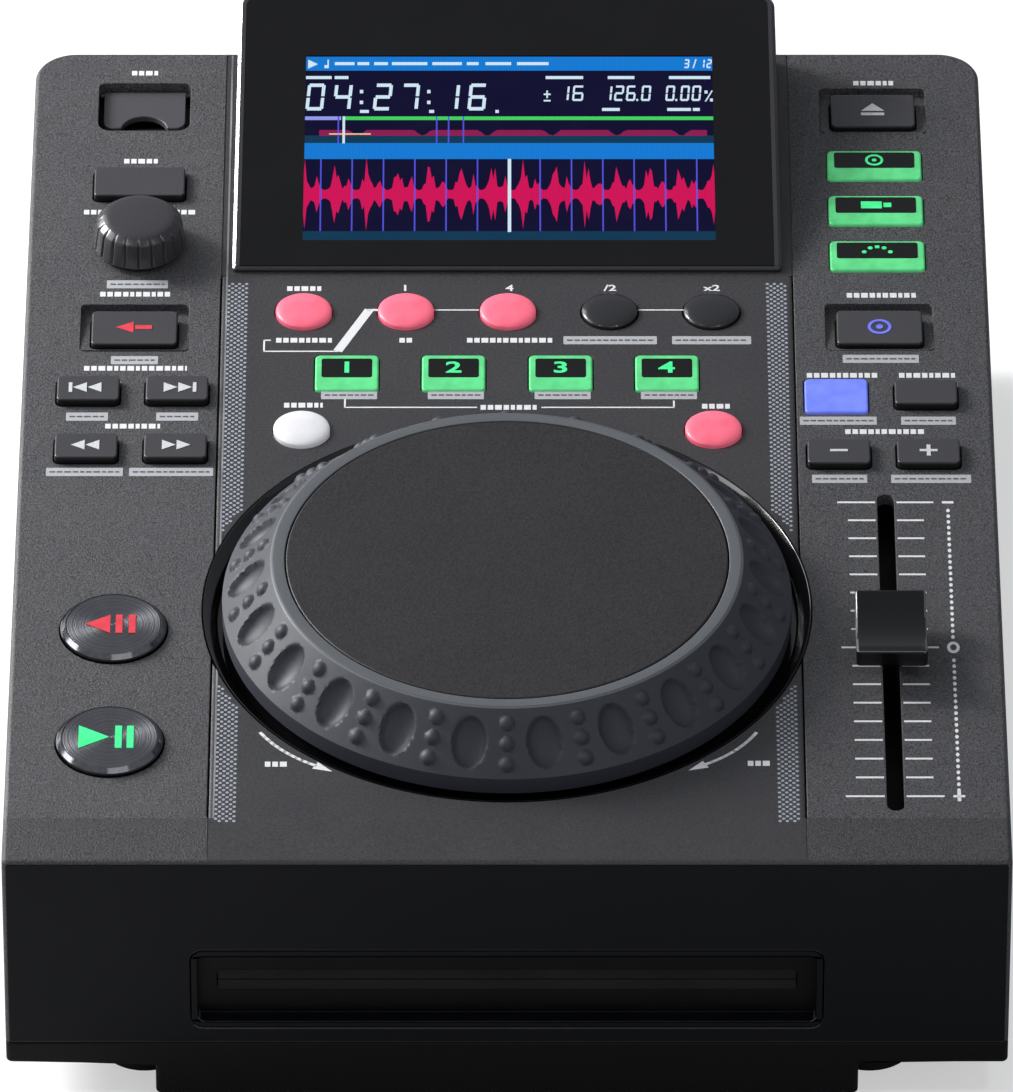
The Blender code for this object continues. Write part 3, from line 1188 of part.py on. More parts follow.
def socket_body(name, place_x, level, size):
    """A block that stands on the main board against the inside of the rear wall."""
    width, depth, height = size
    low = MAIN_BOARD_LEVEL + CLEAR
    spread = rectangle(width, depth, 0, place_x, rear_inside - depth / 2)
    return plate(name, [spread], low, max(low + height, level + height / 2))


size = (PHONO_WIDTH, PHONO_LENGTH, PHONO_HEIGHT)
phono_jacks = socket_body("phono_jacks", phono_x, phono_level, size)
grooves, barrels, bores = [], [], []
for side in (-1, 1):
    x = phono_x + side * PHONO_PITCH / 2
    start = (x, rear_inside - PHONO_GROOVE_DEPTH, phono_level)
    deeper = (x, rear_inside - PHONO_GROOVE_DEPTH - CLEAR, phono_level)
    grooves.append(rod("groove", PHONO_GROOVE_RADIUS, start, (x, REAR_Y, phono_level)))
    barrels.append(rod("barrel", PHONO_RADIUS, deeper, (x, REAR_Y, phono_level)))
    bores.append(rod("bore", PHONO_BORE, start, (x, REAR_Y + OVERRUN, phono_level)))
cut(phono_jacks, *grooves)
join(phono_jacks, *barrels)
cut(phono_jacks, *bores)
done(phono_jacks, "gloss_black_plastic")

size = (DATA_BORE_WIDTH + 2 * DATA_WALL, DATA_LENGTH, DATA_HEIGHT)
data_socket = socket_body("data_socket", data_x, data_level, size)
size = (DATA_BORE_WIDTH, DATA_BORE_LENGTH + OVERRUN, DATA_BORE_HEIGHT)
middle = (data_x, rear_inside - DATA_BORE_LENGTH + size[1] / 2, data_level)
cut(data_socket, block("bore", size, middle))
done(data_socket, "steel")

size = (POWER_WIDTH, POWER_LENGTH, POWER_WIDTH)
power_inlet = socket_body("power_inlet", power_x, power_level, size)
start = (power_x, rear_inside - POWER_BORE_DEPTH, power_level)
deeper = (power_x, rear_inside - POWER_BORE_DEPTH - CLEAR, power_level)
mouth = (power_x, REAR_Y, power_level)
cut(power_inlet, rod("bore", POWER_BORE_RADIUS - CLEAR, start, mouth))
join(power_inlet, rod("pin", POWER_PIN, deeper, (power_x, rear_inside - CLEAR, power_level)))
done(power_inlet, "gloss_black_plastic")

rocker_spot = Matrix.Translation((rocker_x, REAR_Y - ROCKER_DROP, rocker_level))
rocker_spot = rocker_spot @ Matrix.Rotation(ROCKER_TILT, 4, "X")
rocker_size = (ROCKER_WIDTH, ROCKER_LENGTH, ROCKER_HEIGHT)
power_switch = block("power_switch", rocker_size, (0, 0, 0), rocker_spot)
done(power_switch, "button_black_plastic")
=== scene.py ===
"""Looks of the tabletop disc player: its visible pieces, materials, lights and camera.

Metres, +Z up. Places on the control panel are given in the panel's own frame:
across (x), back from the front edge (y), and out of the panel (z).
"""

import json
import math

import bmesh
import bpy
from mathutils import Matrix, Vector

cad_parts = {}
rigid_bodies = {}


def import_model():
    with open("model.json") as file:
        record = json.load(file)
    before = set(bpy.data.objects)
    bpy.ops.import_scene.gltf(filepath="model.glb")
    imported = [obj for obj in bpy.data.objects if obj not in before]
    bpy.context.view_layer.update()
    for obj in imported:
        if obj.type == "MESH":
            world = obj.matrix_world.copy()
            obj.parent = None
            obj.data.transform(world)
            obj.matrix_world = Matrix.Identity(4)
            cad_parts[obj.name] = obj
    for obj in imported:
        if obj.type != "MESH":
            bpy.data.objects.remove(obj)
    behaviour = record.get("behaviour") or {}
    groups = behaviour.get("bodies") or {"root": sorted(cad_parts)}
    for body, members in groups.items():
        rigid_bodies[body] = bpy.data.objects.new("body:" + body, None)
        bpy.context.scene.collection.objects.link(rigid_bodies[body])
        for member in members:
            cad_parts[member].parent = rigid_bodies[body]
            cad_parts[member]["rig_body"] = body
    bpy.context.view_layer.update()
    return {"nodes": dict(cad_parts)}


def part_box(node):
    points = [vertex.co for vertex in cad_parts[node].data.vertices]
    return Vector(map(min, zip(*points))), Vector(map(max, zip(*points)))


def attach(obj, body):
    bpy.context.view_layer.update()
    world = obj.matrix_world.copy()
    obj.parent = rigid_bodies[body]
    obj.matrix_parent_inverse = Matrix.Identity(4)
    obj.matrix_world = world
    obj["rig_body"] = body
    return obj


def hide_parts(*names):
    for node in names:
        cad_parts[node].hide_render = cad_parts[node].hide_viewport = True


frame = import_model()

MM = 0.001


def mm(*values):
    """Millimetres as metres: one value, or a tuple of them."""
    scaled = tuple(value * MM for value in values)
    return scaled if len(scaled) > 1 else scaled[0]


# The body, as the frame has it
HOUSING_LOW, HOUSING_HIGH = (Vector(corner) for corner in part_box("top_housing"))
HALF_WIDTH = HOUSING_HIGH.x
FRONT_Y = HOUSING_LOW.y
REAR_Y = HOUSING_HIGH.y
QUARTER = math.pi / 2
PANEL_TILT = math.radians(4)
FRONT_TOP = HOUSING_HIGH.z - (REAR_Y - FRONT_Y) * math.tan(PANEL_TILT)
SLOPE = Matrix.Rotation(PANEL_TILT, 4, "X")
PANEL = Matrix.Translation((0, FRONT_Y, FRONT_TOP)) @ SLOPE
PANEL_INVERSE = PANEL.inverted()
WORLD = Matrix.Identity(4)
BODY = "player_body"

# Steps in a full turn and in a round corner
TURN_STEPS = 128
SMALL_STEPS = 64
CORNER_STEPS = 6
SHARP_ANGLE = math.radians(35)

# Clearances
GAP = mm(0.3)
OVERRUN = mm(3)
PRINT_LIFT = mm(0.04)
# Points closer than this are joined
WELD = MM / 2000
# A corner's arc takes at most an edge's length over this
EDGE_SHARE = 2.2

# The curve of 8-bit screen colours
FULL_TONE = 255
TOE_END, TOE_SLOPE, TONE_OFFSET, TONE_POWER = 0.04045, 12.92, 0.055, 2.4


def linear(red, green, blue):
    """An 8-bit screen colour as the linear one that a shader takes."""
    tones = []
    for part in (red / FULL_TONE, green / FULL_TONE, blue / FULL_TONE):
        curved = ((part + TONE_OFFSET) / (1 + TONE_OFFSET)) ** TONE_POWER
        tones.append(part / TOE_SLOPE if part <= TOE_END else curved)
    return tuple(tones)


# Materials


class Nodes:
    """A new material's nodes, with short ways to add and join them."""

    def __init__(self, name):
        self.material = bpy.data.materials.new(name)
        self.material.use_nodes = True
        self.tree = self.material.node_tree
        self.shader = self.tree.nodes["Principled BSDF"]
        self.place = self.tree.nodes.new("ShaderNodeTexCoord").outputs["Object"]

    def add(self, kind, **settings):
        made = self.tree.nodes.new(kind)
        for key, value in settings.items():
            if key in made.inputs:
                made.inputs[key].default_value = value
            else:
                setattr(made, key, value)
        return made

    def join(self, output, target):
        self.tree.links.new(output, target)

    def shade(self, **inputs):
        """Sets or joins the shader's inputs, with an underscore for a space in a name."""
        for name, value in inputs.items():
            target = self.shader.inputs[name.replace("_", " ")]
            if isinstance(value, bpy.types.NodeSocket):
                self.join(value, target)
            else:
                target.default_value = value

    def noise(self, scale, detail=2.0, rough=0.5, place=None):
        made = self.add("ShaderNodeTexNoise", Scale=scale, Detail=detail, Roughness=rough)
        self.join(place or self.place, made.inputs["Vector"])
        return made.outputs["Fac"]

    def ramp(self, source, low, high, start=0.35, end=0.65):
        """Spreads a texture's value from low to high."""
        spans = {"From Min": start, "From Max": end, "To Min": low, "To Max": high}
        made = self.add("ShaderNodeMapRange", **spans)
        self.join(source, made.inputs["Value"])
        return made.outputs["Result"]

    def blend(self, factor, first, second):
        made = self.add("ShaderNodeMix", data_type="RGBA")
        self.join(factor, made.inputs["Factor"])
        colours = [s for s in made.inputs if s.type == "RGBA"]
        colours[0].default_value = (*first, 1)
        colours[1].default_value = (*second, 1)
        return next(s for s in made.outputs if s.type == "RGBA")

    def bump(self, height, strength, distance):
        made = self.add("ShaderNodeBump", Strength=strength, Distance=distance)
        self.join(height, made.inputs["Height"])
        self.join(made.outputs["Normal"], self.shader.inputs["Normal"])


def dimmed(tone, share):
    return tuple(part * share for part in tone)


# Materials take the size of their grain and patches in millimetres
GRAINS_PER_METRE = 1 / MM
GRAIN_DETAIL, GRAIN_ROUGH = 3.0, 0.65
PATCH_SIZE, PATCH_DETAIL = 18, 4.0
COAT_ROUGH = 0.08
SCRATCH_ROUGH, SCRATCH_DARK, SCRATCH_GLOSS = 0.6, 0.8, 0.25
SCRATCH_DEPTH = MM / 20
LAMP_PATCH, LAMP_WEAR, LAMP_BUMP = 4, 0.05, 0.05


def plastic(
    name, colour, rough, grain=0.0, fleck=0.0, grain_size=0.7, wear=0.05, coat=0.0, shine=0.5
):
    """Moulded plastic: a fine grain in bump and colour, and slow changes in gloss."""
    made = Nodes(name)
    tone = linear(*colour)
    light = tuple(min(1, part * (1 + 2 * fleck)) for part in tone)
    fine = made.noise(GRAINS_PER_METRE / grain_size, GRAIN_DETAIL, GRAIN_ROUGH)
    slow = made.noise(GRAINS_PER_METRE / PATCH_SIZE, PATCH_DETAIL)
    made.shade(
        Base_Color=made.blend(made.ramp(fine, 0, 1), dimmed(tone, 1 - fleck), light),
        Roughness=made.ramp(slow, rough - wear, rough + wear),
        Specular_IOR_Level=shine,
        Coat_Weight=coat,
        Coat_Roughness=COAT_ROUGH,
    )
    if grain:
        made.bump(fine, min(grain, 1), MM * grain_size / 4 * max(grain, 1))
    return made.material


def metal(name, colour, rough, along=(1, 1, 1), bump=0.2):
    """Brushed metal, with scratches stretched along one axis."""
    made = Nodes(name)
    tone = linear(*colour)
    stretch = made.add("ShaderNodeMapping", Scale=along)
    made.join(made.place, stretch.inputs["Vector"])
    lines = made.noise(GRAINS_PER_METRE, GRAIN_DETAIL, SCRATCH_ROUGH, stretch.outputs["Vector"])
    made.shade(
        Base_Color=made.blend(made.ramp(lines, 0, 1), dimmed(tone, SCRATCH_DARK), tone),
        Roughness=made.ramp(lines, rough * (1 - SCRATCH_GLOSS), rough * (1 + SCRATCH_GLOSS)),
        Metallic=1,
    )
    made.bump(lines, bump, SCRATCH_DEPTH)
    return made.material


def lit(name, colour, glow, rough=0.35, edge=0.82):
    """Clear coloured plastic with a lamp behind it."""
    made = Nodes(name)
    tone = linear(*colour)
    slow = made.noise(GRAINS_PER_METRE / LAMP_PATCH)
    mixed = made.blend(made.ramp(slow, 0, 1), dimmed(tone, edge), tone)
    fine = made.noise(GRAINS_PER_METRE * 2)
    gloss = made.ramp(fine, rough - LAMP_WEAR, rough + LAMP_WEAR)
    made.shade(Base_Color=mixed, Emission_Color=mixed, Roughness=gloss, Emission_Strength=glow)
    made.bump(fine, LAMP_BUMP, SCRATCH_DEPTH)
    return made.material


# Mesh helpers


def smooth(made, material):
    """One material, and smooth shading that breaks at sharp edges."""
    if material:
        made.data.materials.clear()
        made.data.materials.append(material)
    made.data.shade_smooth()
    made.data.set_sharp_from_angle(angle=SHARP_ANGLE)


def place(name, shape, spot, material, body):
    """A new object with a mesh, a material and, if there is one, a body to ride on."""
    made = bpy.data.objects.new(name, shape)
    bpy.context.scene.collection.objects.link(made)
    made.matrix_world = spot
    smooth(made, material)
    if body:
        bpy.context.view_layer.update()
        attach(made, body)
    return made


def built(name, work, spot, material=None, body=None, turn=True):
    if turn:
        bmesh.ops.recalc_face_normals(work, faces=work.faces)
    shape = bpy.data.meshes.new(name)
    work.to_mesh(shape)
    work.free()
    return place(name, shape, spot, material, body)


def bake(made):
    """Turns the object's modifiers into mesh."""
    bpy.context.view_layer.update()
    graph = bpy.context.evaluated_depsgraph_get()
    shape = bpy.data.meshes.new_from_object(made.evaluated_get(graph))
    made.modifiers.clear()
    made.data = shape
    return made


def combine(made, operation, others):
    for other in others:
        step = made.modifiers.new(other.name, "BOOLEAN")
        step.operation = operation
        step.solver = "EXACT"
        step.object = other
    bake(made)
    for other in others:
        bpy.data.objects.remove(other, do_unlink=True)
    return made


def cut(made, *tools):
    return combine(made, "DIFFERENCE", tools)


def soften(made, width, segments=2, angle=40):
    """Rounds the sharp edges of a mesh."""
    step = made.modifiers.new("soften", "BEVEL")
    step.width = width
    step.segments = segments
    step.limit_method = "ANGLE"
    step.angle_limit = math.radians(angle)
    step.use_clamp_overlap = False
    step.harden_normals = False
    return bake(made)


def dress(made, name, material, body=BODY, replaced=()):
    """Gives a worked mesh its name, material and body, and the CAD nodes it stands for."""
    made.name = name
    smooth(made, material)
    level = made.modifiers.new("level", "WEIGHTED_NORMAL")
    level.keep_sharp = True
    bpy.context.view_layer.update()
    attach(made, body)
    if replaced:
        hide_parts(*replaced)
    return made


def repaint(made, materials, choose):
    """Adds materials, and gives each face the slot that choose names for it."""
    for material in materials:
        made.data.materials.append(material)
    for face in made.data.polygons:
        face.material_index = choose(face)


def on_panel(across, back, level=0):
    return PANEL @ Matrix.Translation((across, back, level))


def about(axis, angle):
    return Matrix.Rotation(angle, 4, axis)


def outline(left, right, front, back, radii, steps=CORNER_STEPS):
    """A rectangle with an arc at each corner, from the front left one on."""
    corners = (
        (left, front, 1, 1, 2 * QUARTER),
        (right, front, -1, 1, 3 * QUARTER),
        (right, back, -1, -1, 0),
        (left, back, 1, -1, QUARTER),
    )
    points = []
    for (x, y, side, end, start), radius in zip(corners, radii):
        for step in range(steps + 1 if radius else 1):
            turn = start + QUARTER * step / steps
            across = x + radius * (side + math.cos(turn))
            points.append((across, y + radius * (end + math.sin(turn))))
    return points


def rectangle(width, length, radius=0, across=0, back=0, steps=CORNER_STEPS):
    left, right = across - width / 2, across + width / 2
    return outline(left, right, back - length / 2, back + length / 2, (radius,) * 4, steps)


def circle(radius, across=0, back=0, steps=SMALL_STEPS):
    turns = [2 * math.pi * step / steps for step in range(steps)]
    return [(across + radius * math.cos(t), back + radius * math.sin(t)) for t in turns]


def surface_of(curve):
    """A curve's surface as a mesh."""
    drawn = bpy.data.objects.new("drawn", curve)
    bpy.context.scene.collection.objects.link(drawn)
    graph = bpy.context.evaluated_depsgraph_get()
    shape = bpy.data.meshes.new_from_object(drawn.evaluated_get(graph))
    bpy.data.objects.remove(drawn, do_unlink=True)
    return shape


def plate(loops, low, high, spot=WORLD):
    """A sheet between two levels: outlines, with holes inside them."""
    curve = bpy.data.curves.new("sheet", "CURVE")
    curve.dimensions = "2D"
    curve.fill_mode = "BOTH"
    curve.extrude = (high - low) / 2
    for loop in loops:
        spline = curve.splines.new("POLY")
        spline.points.add(len(loop) - 1)
        for point, (x, y) in zip(spline.points, loop):
            point.co = (x, y, 0, 1)
        spline.use_cyclic_u = True
    work = bmesh.new()
    work.from_mesh(surface_of(curve))
    bmesh.ops.remove_doubles(work, verts=work.verts, dist=WELD)
    bmesh.ops.translate(work, vec=(0, 0, (low + high) / 2), verts=work.verts)
    return built("plate", work, spot)


def turned(name, profile, spot, steps=TURN_STEPS, material=None, body=None):
    """A profile of (radius, level) points, from the top down, turned about the z axis."""
    work = bmesh.new()
    rings = []
    for radius, level in profile:
        points = circle(radius, steps=steps) if radius else [(0, 0)]
        rings.append([work.verts.new((*point, level)) for point in points])
    pairs = list(zip(rings, rings[1:]))
    if profile[0][0] > 0:
        pairs.append((rings[-1], rings[0]))
    for upper, lower in pairs:
        for step in range(steps):
            after = (step + 1) % steps
            corners = [upper[step % len(upper)], lower[step % len(lower)]]
            corners += [lower[after % len(lower)], upper[after % len(upper)]]
            face = list(dict.fromkeys(corners))
            if len(face) > 2:
                work.faces.new(face)
    return built(name, work, spot, material, body)


def rounded(profile, radius, steps=4):
    """The profile with its inner corners rounded."""
    points = [profile[0]]
    for before, corner, after in zip(profile, profile[1:], profile[2:]):
        middle = Vector(corner)
        back, ahead = Vector(before) - middle, Vector(after) - middle
        reach = min(radius, back.length / EDGE_SHARE, ahead.length / EDGE_SHARE)
        start, end = middle + back.normalized() * reach, middle + ahead.normalized() * reach
        for step in range(steps + 1):
            t = step / steps
            mixed = start * (1 - t) ** 2 + middle * 2 * t * (1 - t) + end * t**2
            points.append(tuple(mixed))
    points.append(profile[-1])
    return points


# Colours, as 8-bit screen values from the photograph
PEBBLED = plastic("pebbled_plastic", (64, 64, 67), 0.48, grain=1.7, fleck=0.6, grain_size=0.42)
# Painted shade: a darker copy of the pebbled plastic for the wings' front strip
PEBBLED_FRONT_SHADE = plastic("pebbled_front_painted_shade", (52, 52, 55), 0.5, grain=1.7, fleck=0.6, grain_size=0.42)
SATIN = plastic("satin_plastic", (56, 56, 59), 0.42, grain=0.5, fleck=0.2, grain_size=0.6, wear=0.04)
HOOD = plastic("hood_plastic", (54, 54, 58), 0.36, grain=0.3, fleck=0.06, grain_size=0.5)
# Painted shade: a near-black for the walls and front face, which turn away from the light
WALL_SHADE_BLACK = plastic("front_plastic_painted_shade", (4, 6, 10), 0.5, 0.25, 0.12, 0.5, wear=0.02, shine=0.2)
BASE_BLACK = plastic("base_plastic", (4, 5, 7), 0.5, 0.35, 0.12, 0.6, shine=0.2)
SLOT_BLACK = plastic("slot_plastic", (4, 4, 5), 0.5, 0.2, 0.1, 0.5, shine=0.2)
# Painted highlight: a lighter plastic on the slant along the slot's lower edge, where light falls on it
LIP_HIGHLIGHT = plastic("slot_edge_painted_highlight", (74, 76, 82), 0.35, fleck=0.05)
GLOSS_BLACK = plastic("gloss_plastic", (12, 12, 14), 0.1, wear=0.03, coat=0.6)
# The buttons' tops in this grey, and their sides in a darker copy that is painted shade
KEY_BLACK = plastic("button_plastic", (66, 66, 70), 0.3, grain=0.1, fleck=0.06, grain_size=0.35)
KEY_WALL_SHADE = plastic("button_wall", (20, 20, 22), 0.3, grain=0.1, fleck=0.06, grain_size=0.35)
DOME_BLACK = plastic("dome_plastic", (40, 40, 43), 0.24, wear=0.04, coat=0.5)
INSET_BLACK = plastic("inset_plastic", (10, 14, 12), 0.3, wear=0.04)
WINDOW_BLACK = plastic("window_plastic", (11, 11, 14), 0.22, wear=0.04, grain=0.04, grain_size=0.4)
RUBBER = plastic("ring_rubber", (60, 62, 70), 0.56, 0.25, 0.06, 0.35, shine=0.4)
BAND_RUBBER = plastic("band_rubber", (92, 96, 100), 0.42, grain=0.2, fleck=0.06, grain_size=0.35)
PLATTER = plastic("platter_plastic", (34, 33, 36), 0.52, grain=0.6, fleck=0.34, grain_size=0.6, wear=0.02)
FOOT_RUBBER = plastic("foot_rubber", (15, 15, 16), 0.75, grain=0.4, fleck=0.1, grain_size=0.6)
PRINT_WHITE = plastic("white_print", (226, 228, 230), 0.5, grain=0.05, fleck=0.03, wear=0.05)
PRINT_GREY = plastic("grey_print", (176, 178, 182), 0.5, grain=0.05, fleck=0.04, wear=0.05)
MESH_GREY = plastic("dotted_print", (158, 163, 174), 0.45, grain=0.05, fleck=0.05, wear=0.05)
SYMBOL_WHITE = plastic("white_symbol", (205, 208, 210), 0.4, grain=0.05, fleck=0.03, wear=0.05)
BOARD_GREEN = plastic("board_varnish", (22, 84, 50), 0.35, fleck=0.15, grain_size=1.2)
GREEN = lit("green_lamp", (92, 208, 132), 0.3)
PINK = lit("pink_lamp", (248, 110, 134), 0.3)
WHITE = lit("white_lamp", (214, 214, 218), 0.26, edge=0.94)
BLUE = lit("blue_lamp", (112, 130, 244), 0.36)
RED_SIGN = lit("red_sign", (206, 62, 74), 0.4)
BLUE_SIGN = lit("blue_sign", (104, 112, 226), 0.45)
GREEN_SIGN = lit("green_sign", (66, 226, 140), 0.45)
STEEL = metal("steel_sheet", (176, 178, 182), 0.3, along=(1, 0.04, 1))
DARK_STEEL = metal("dark_steel", (92, 93, 97), 0.32, along=(0.05, 1, 1))
# Painted highlight: a near-white for the left-facing edges of the hood and the center plate
EDGE_HIGHLIGHT = metal("edge_painted_highlight", (232, 234, 238), 0.36, along=(1, 0.05, 1), bump=0.05)
WELL_GLOSS = plastic("well_plastic", (16, 16, 18), 0.16, wear=0.03, coat=0.8)
KNOB_BLACK = plastic("knob_plastic", (56, 56, 60), 0.3, wear=0.05, coat=0.35)
CAP_BLACK = plastic("cap_plastic", (7, 7, 9), 0.22, wear=0.04, coat=0.3)
# Painted highlight: a lighter plastic for the fader cap's rounded edges
CAP_RIM_HIGHLIGHT = plastic("cap_rim_painted_highlight", (104, 106, 112), 0.25, wear=0.04)
DOOR_GREY = plastic("door_plastic", (74, 74, 79), 0.36, wear=0.04)
DASH_GREY = plastic("dash_print", (84, 86, 90), 0.5, fleck=0.04)
FELT = plastic("slot_felt", (15, 15, 17), 0.85, grain=0.6, grain_size=0.35)
JACK_WHITE = plastic("jack_white", (226, 226, 222), 0.35)
JACK_RED = plastic("jack_red", (178, 28, 32), 0.35)

RINGS_PER_METRE = 6000.0
SPUN_DARK, SPUN_LIGHT = linear(112, 113, 118), linear(174, 176, 182)
SPUN_ROUGH = (0.22, 0.34)
SPUN_STREAK, SPUN_TURN = 0.85, 0.25
SPUN_BUMP, SPUN_DEPTH = 0.15, MM / 30


def spun_metal():
    """Dark metal turned on a lathe: fine rings, and a streak of light that follows them."""
    made = Nodes("spun_metal")
    reach = made.add("ShaderNodeVectorMath", operation="LENGTH")
    made.join(made.place, reach.inputs[0])
    settings = {"Scale": RINGS_PER_METRE, "Detail": GRAIN_DETAIL}
    rings = made.add("ShaderNodeTexNoise", noise_dimensions="1D", **settings)
    made.join(reach.outputs["Value"], rings.inputs["W"])
    fine = rings.outputs["Fac"]
    around = made.add("ShaderNodeTangent", direction_type="RADIAL", axis="Z")
    made.shade(
        Base_Color=made.blend(made.ramp(fine, 0, 1), SPUN_DARK, SPUN_LIGHT),
        Roughness=made.ramp(fine, *SPUN_ROUGH),
        Metallic=1,
        Anisotropic=SPUN_STREAK,
        Anisotropic_Rotation=SPUN_TURN,
        Tangent=around.outputs["Tangent"],
    )
    made.bump(fine, SPUN_BUMP, SPUN_DEPTH)
    return made.material


SPUN = spun_metal()
POLISHED = metal("polished_edge", (150, 151, 156), 0.14, bump=0.02)

PIXELS_PER_METRE = 600.0
PIXEL_DIM = 0.86
SMEAR_SIZE, SMEAR_ROUGH = 12, (0.18, 0.3)
SCREEN_SHINE = 0.25
# Colours of the display that are made already
EMITTED = {}


def screen_colour(red, green, blue):
    """A colour of the lit display, with the faint lines of its pixels."""
    name = f"pixel_{red}_{green}_{blue}"
    if name in EMITTED:
        return EMITTED[name]
    made = Nodes(name)
    tone = linear(red, green, blue)
    looks = {"wave_type": "BANDS", "bands_direction": "X"}
    grid = made.add("ShaderNodeTexWave", Scale=PIXELS_PER_METRE, **looks)
    made.join(made.place, grid.inputs["Vector"])
    smear = made.noise(GRAINS_PER_METRE / SMEAR_SIZE)
    made.shade(
        Emission_Color=made.blend(grid.outputs["Fac"], dimmed(tone, PIXEL_DIM), tone),
        Emission_Strength=1,
        Base_Color=(0, 0, 0, 1),
        Roughness=made.ramp(smear, *SMEAR_ROUGH),
        Specular_IOR_Level=SCREEN_SHINE,
    )
    EMITTED[name] = made.material
    return made.material


# Camera, floor and lights

CAMERA_DISTANCE = 3.125
CAMERA_ELEVATION = math.radians(34.6)
CAMERA_REACH = (0.1, 50)
AIM = Vector((0, FRONT_Y + mm(109.8), mm(73.7)))
SENSOR = 36
FOCAL_PIXELS = 13979
PHOTO_WIDTH, PHOTO_HEIGHT = 1013, 1092
AIM_PIXEL = (507, 546)


def stand(name, data, spot, direction):
    """A camera or lamp in the scene, looking along a direction."""
    made = bpy.data.objects.new(name, data)
    bpy.context.scene.collection.objects.link(made)
    made.location = spot
    made.rotation_euler = direction.to_track_quat("-Z", "Y").to_euler()
    return made


def make_camera():
    camera = bpy.data.cameras.new("camera")
    camera.sensor_width = SENSOR
    camera.sensor_fit = "AUTO"
    camera.lens = FOCAL_PIXELS / PHOTO_HEIGHT * SENSOR
    camera.shift_x = (PHOTO_WIDTH / 2 - AIM_PIXEL[0]) / PHOTO_HEIGHT
    camera.shift_y = (AIM_PIXEL[1] - PHOTO_HEIGHT / 2) / PHOTO_HEIGHT
    camera.clip_start, camera.clip_end = CAMERA_REACH
    back = Vector((0, -math.cos(CAMERA_ELEVATION), math.sin(CAMERA_ELEVATION)))
    bpy.context.scene.camera = stand("camera", camera, AIM + back * CAMERA_DISTANCE, -back)


def seen_directly(tree):
    """1 for rays from the camera and through glass, else 0."""
    rays = tree.nodes.new("ShaderNodeLightPath")
    either = tree.nodes.new("ShaderNodeMath")
    either.operation = "MAXIMUM"
    tree.links.new(rays.outputs["Is Camera Ray"], either.inputs[0])
    tree.links.new(rays.outputs["Is Transmission Ray"], either.inputs[1])
    return either.outputs["Value"]


FLOOR_SIZE = 8.0
FLOOR_CELLS = 8
FLOOR_GREY = 0.6
FLOOR_ROUGH, FLOOR_SHINE, FLOOR_GLOW = 0.9, 0.1, 0.5
FIBRE_SIZE = 3


def make_floor():
    """A pale floor that fades to white away from the player, and keeps its shadow."""
    work = bmesh.new()
    bmesh.ops.create_grid(work, x_segments=FLOOR_CELLS, y_segments=FLOOR_CELLS, size=FLOOR_SIZE / 2)
    floor = built("floor", work, WORLD, turn=False)
    made = Nodes("floor_paper")
    pale = (FLOOR_GREY,) * 3
    fibre = made.noise(GRAINS_PER_METRE / FIBRE_SIZE)
    seen = made.add("ShaderNodeMath", operation="MULTIPLY")
    made.join(seen_directly(made.tree), seen.inputs[0])
    seen.inputs[1].default_value = FLOOR_GLOW
    made.shade(
        Roughness=FLOOR_ROUGH,
        Specular_IOR_Level=FLOOR_SHINE,
        Base_Color=made.blend(made.ramp(fibre, 0, 1), pale, pale),
        Emission_Color=(1, 1, 1, 1),
        Emission_Strength=seen.outputs["Value"],
    )
    floor.data.materials.append(made.material)


def make_light(name, energy, size, spot, target, colour):
    lamp = bpy.data.lights.new(name, "AREA")
    lamp.energy = energy
    lamp.shape = "RECTANGLE"
    lamp.size, lamp.size_y = size
    lamp.color = colour
    stand(name, lamp, spot, Vector(target) - Vector(spot))


SKY_TINT = (0.9, 0.93, 1, 1)
SKY_STRENGTH = 0.25


def make_world():
    world = bpy.data.worlds.new("studio")
    world.use_nodes = True
    tree = world.node_tree
    soft = tree.nodes["Background"]
    soft.inputs["Color"].default_value = SKY_TINT
    soft.inputs["Strength"].default_value = SKY_STRENGTH
    white = tree.nodes.new("ShaderNodeBackground")
    white.inputs["Strength"].default_value = 1
    mixed = tree.nodes.new("ShaderNodeMixShader")
    tree.links.new(seen_directly(tree), mixed.inputs["Fac"])
    tree.links.new(soft.outputs["Background"], mixed.inputs[1])
    tree.links.new(white.outputs["Background"], mixed.inputs[2])
    tree.links.new(mixed.outputs["Shader"], tree.nodes["World Output"].inputs["Surface"])
    bpy.context.scene.world = world


NEUTRAL = (1, 1, 1)
# Name, power in watts, size, place, what it points at, colour
LIGHTS = (
    ("key", 15.5, (0.32, 0.32), (-0.95, 0.5, 0.64), (-0.02, 0, 0.06), (1, 0.99, 0.97)),
    ("side", 7.4, (1.2, 0.6), (-0.76, 0.32, 0.52), (0, 0, 0.06), NEUTRAL),
    ("front_left", 1.5, (0.1, 0.1), (-0.67, -0.7, 1.21), (0, 0, 0.06), NEUTRAL),
    ("front_right", 1.5, (0.1, 0.1), (0.5, -0.7, 1.21), (0, 0, 0.06), NEUTRAL),
    ("fill", 2.5, (1.4, 1.0), (0.5, -1.8, 1.1), (0, 0, 0.05), NEUTRAL),
)
make_camera()
make_floor()
make_world()
for light in LIGHTS:
    make_light(*light)
bpy.context.scene.view_settings.view_transform = "Standard"


# Where the CAD nodes are, in the panel's frame


def panel_box(node, spot=PANEL):
    """Lowest and highest corner of a CAD node, in a frame that isn't the world's."""
    back = spot.inverted()
    points = [back @ vertex.co for vertex in frame["nodes"][node].data.vertices]
    low = Vector([min(point[axis] for point in points) for axis in range(3)])
    high = Vector([max(point[axis] for point in points) for axis in range(3)])
    return low, high


def cap_of(node):
    """Across, back, width, length and height of a button's cap on the panel."""
    low, high = panel_box(node)
    middle, size = (low + high) / 2, high - low
    return middle.x, middle.y, size.x, size.y, high.z


def place_of(node):
    """The middle of a CAD node, across and back on the panel."""
    low, high = panel_box(node)
    return (low.x + high.x) / 2, (low.y + high.y) / 2


def buttons(names):
    return tuple(name + "_button" for name in names.split())


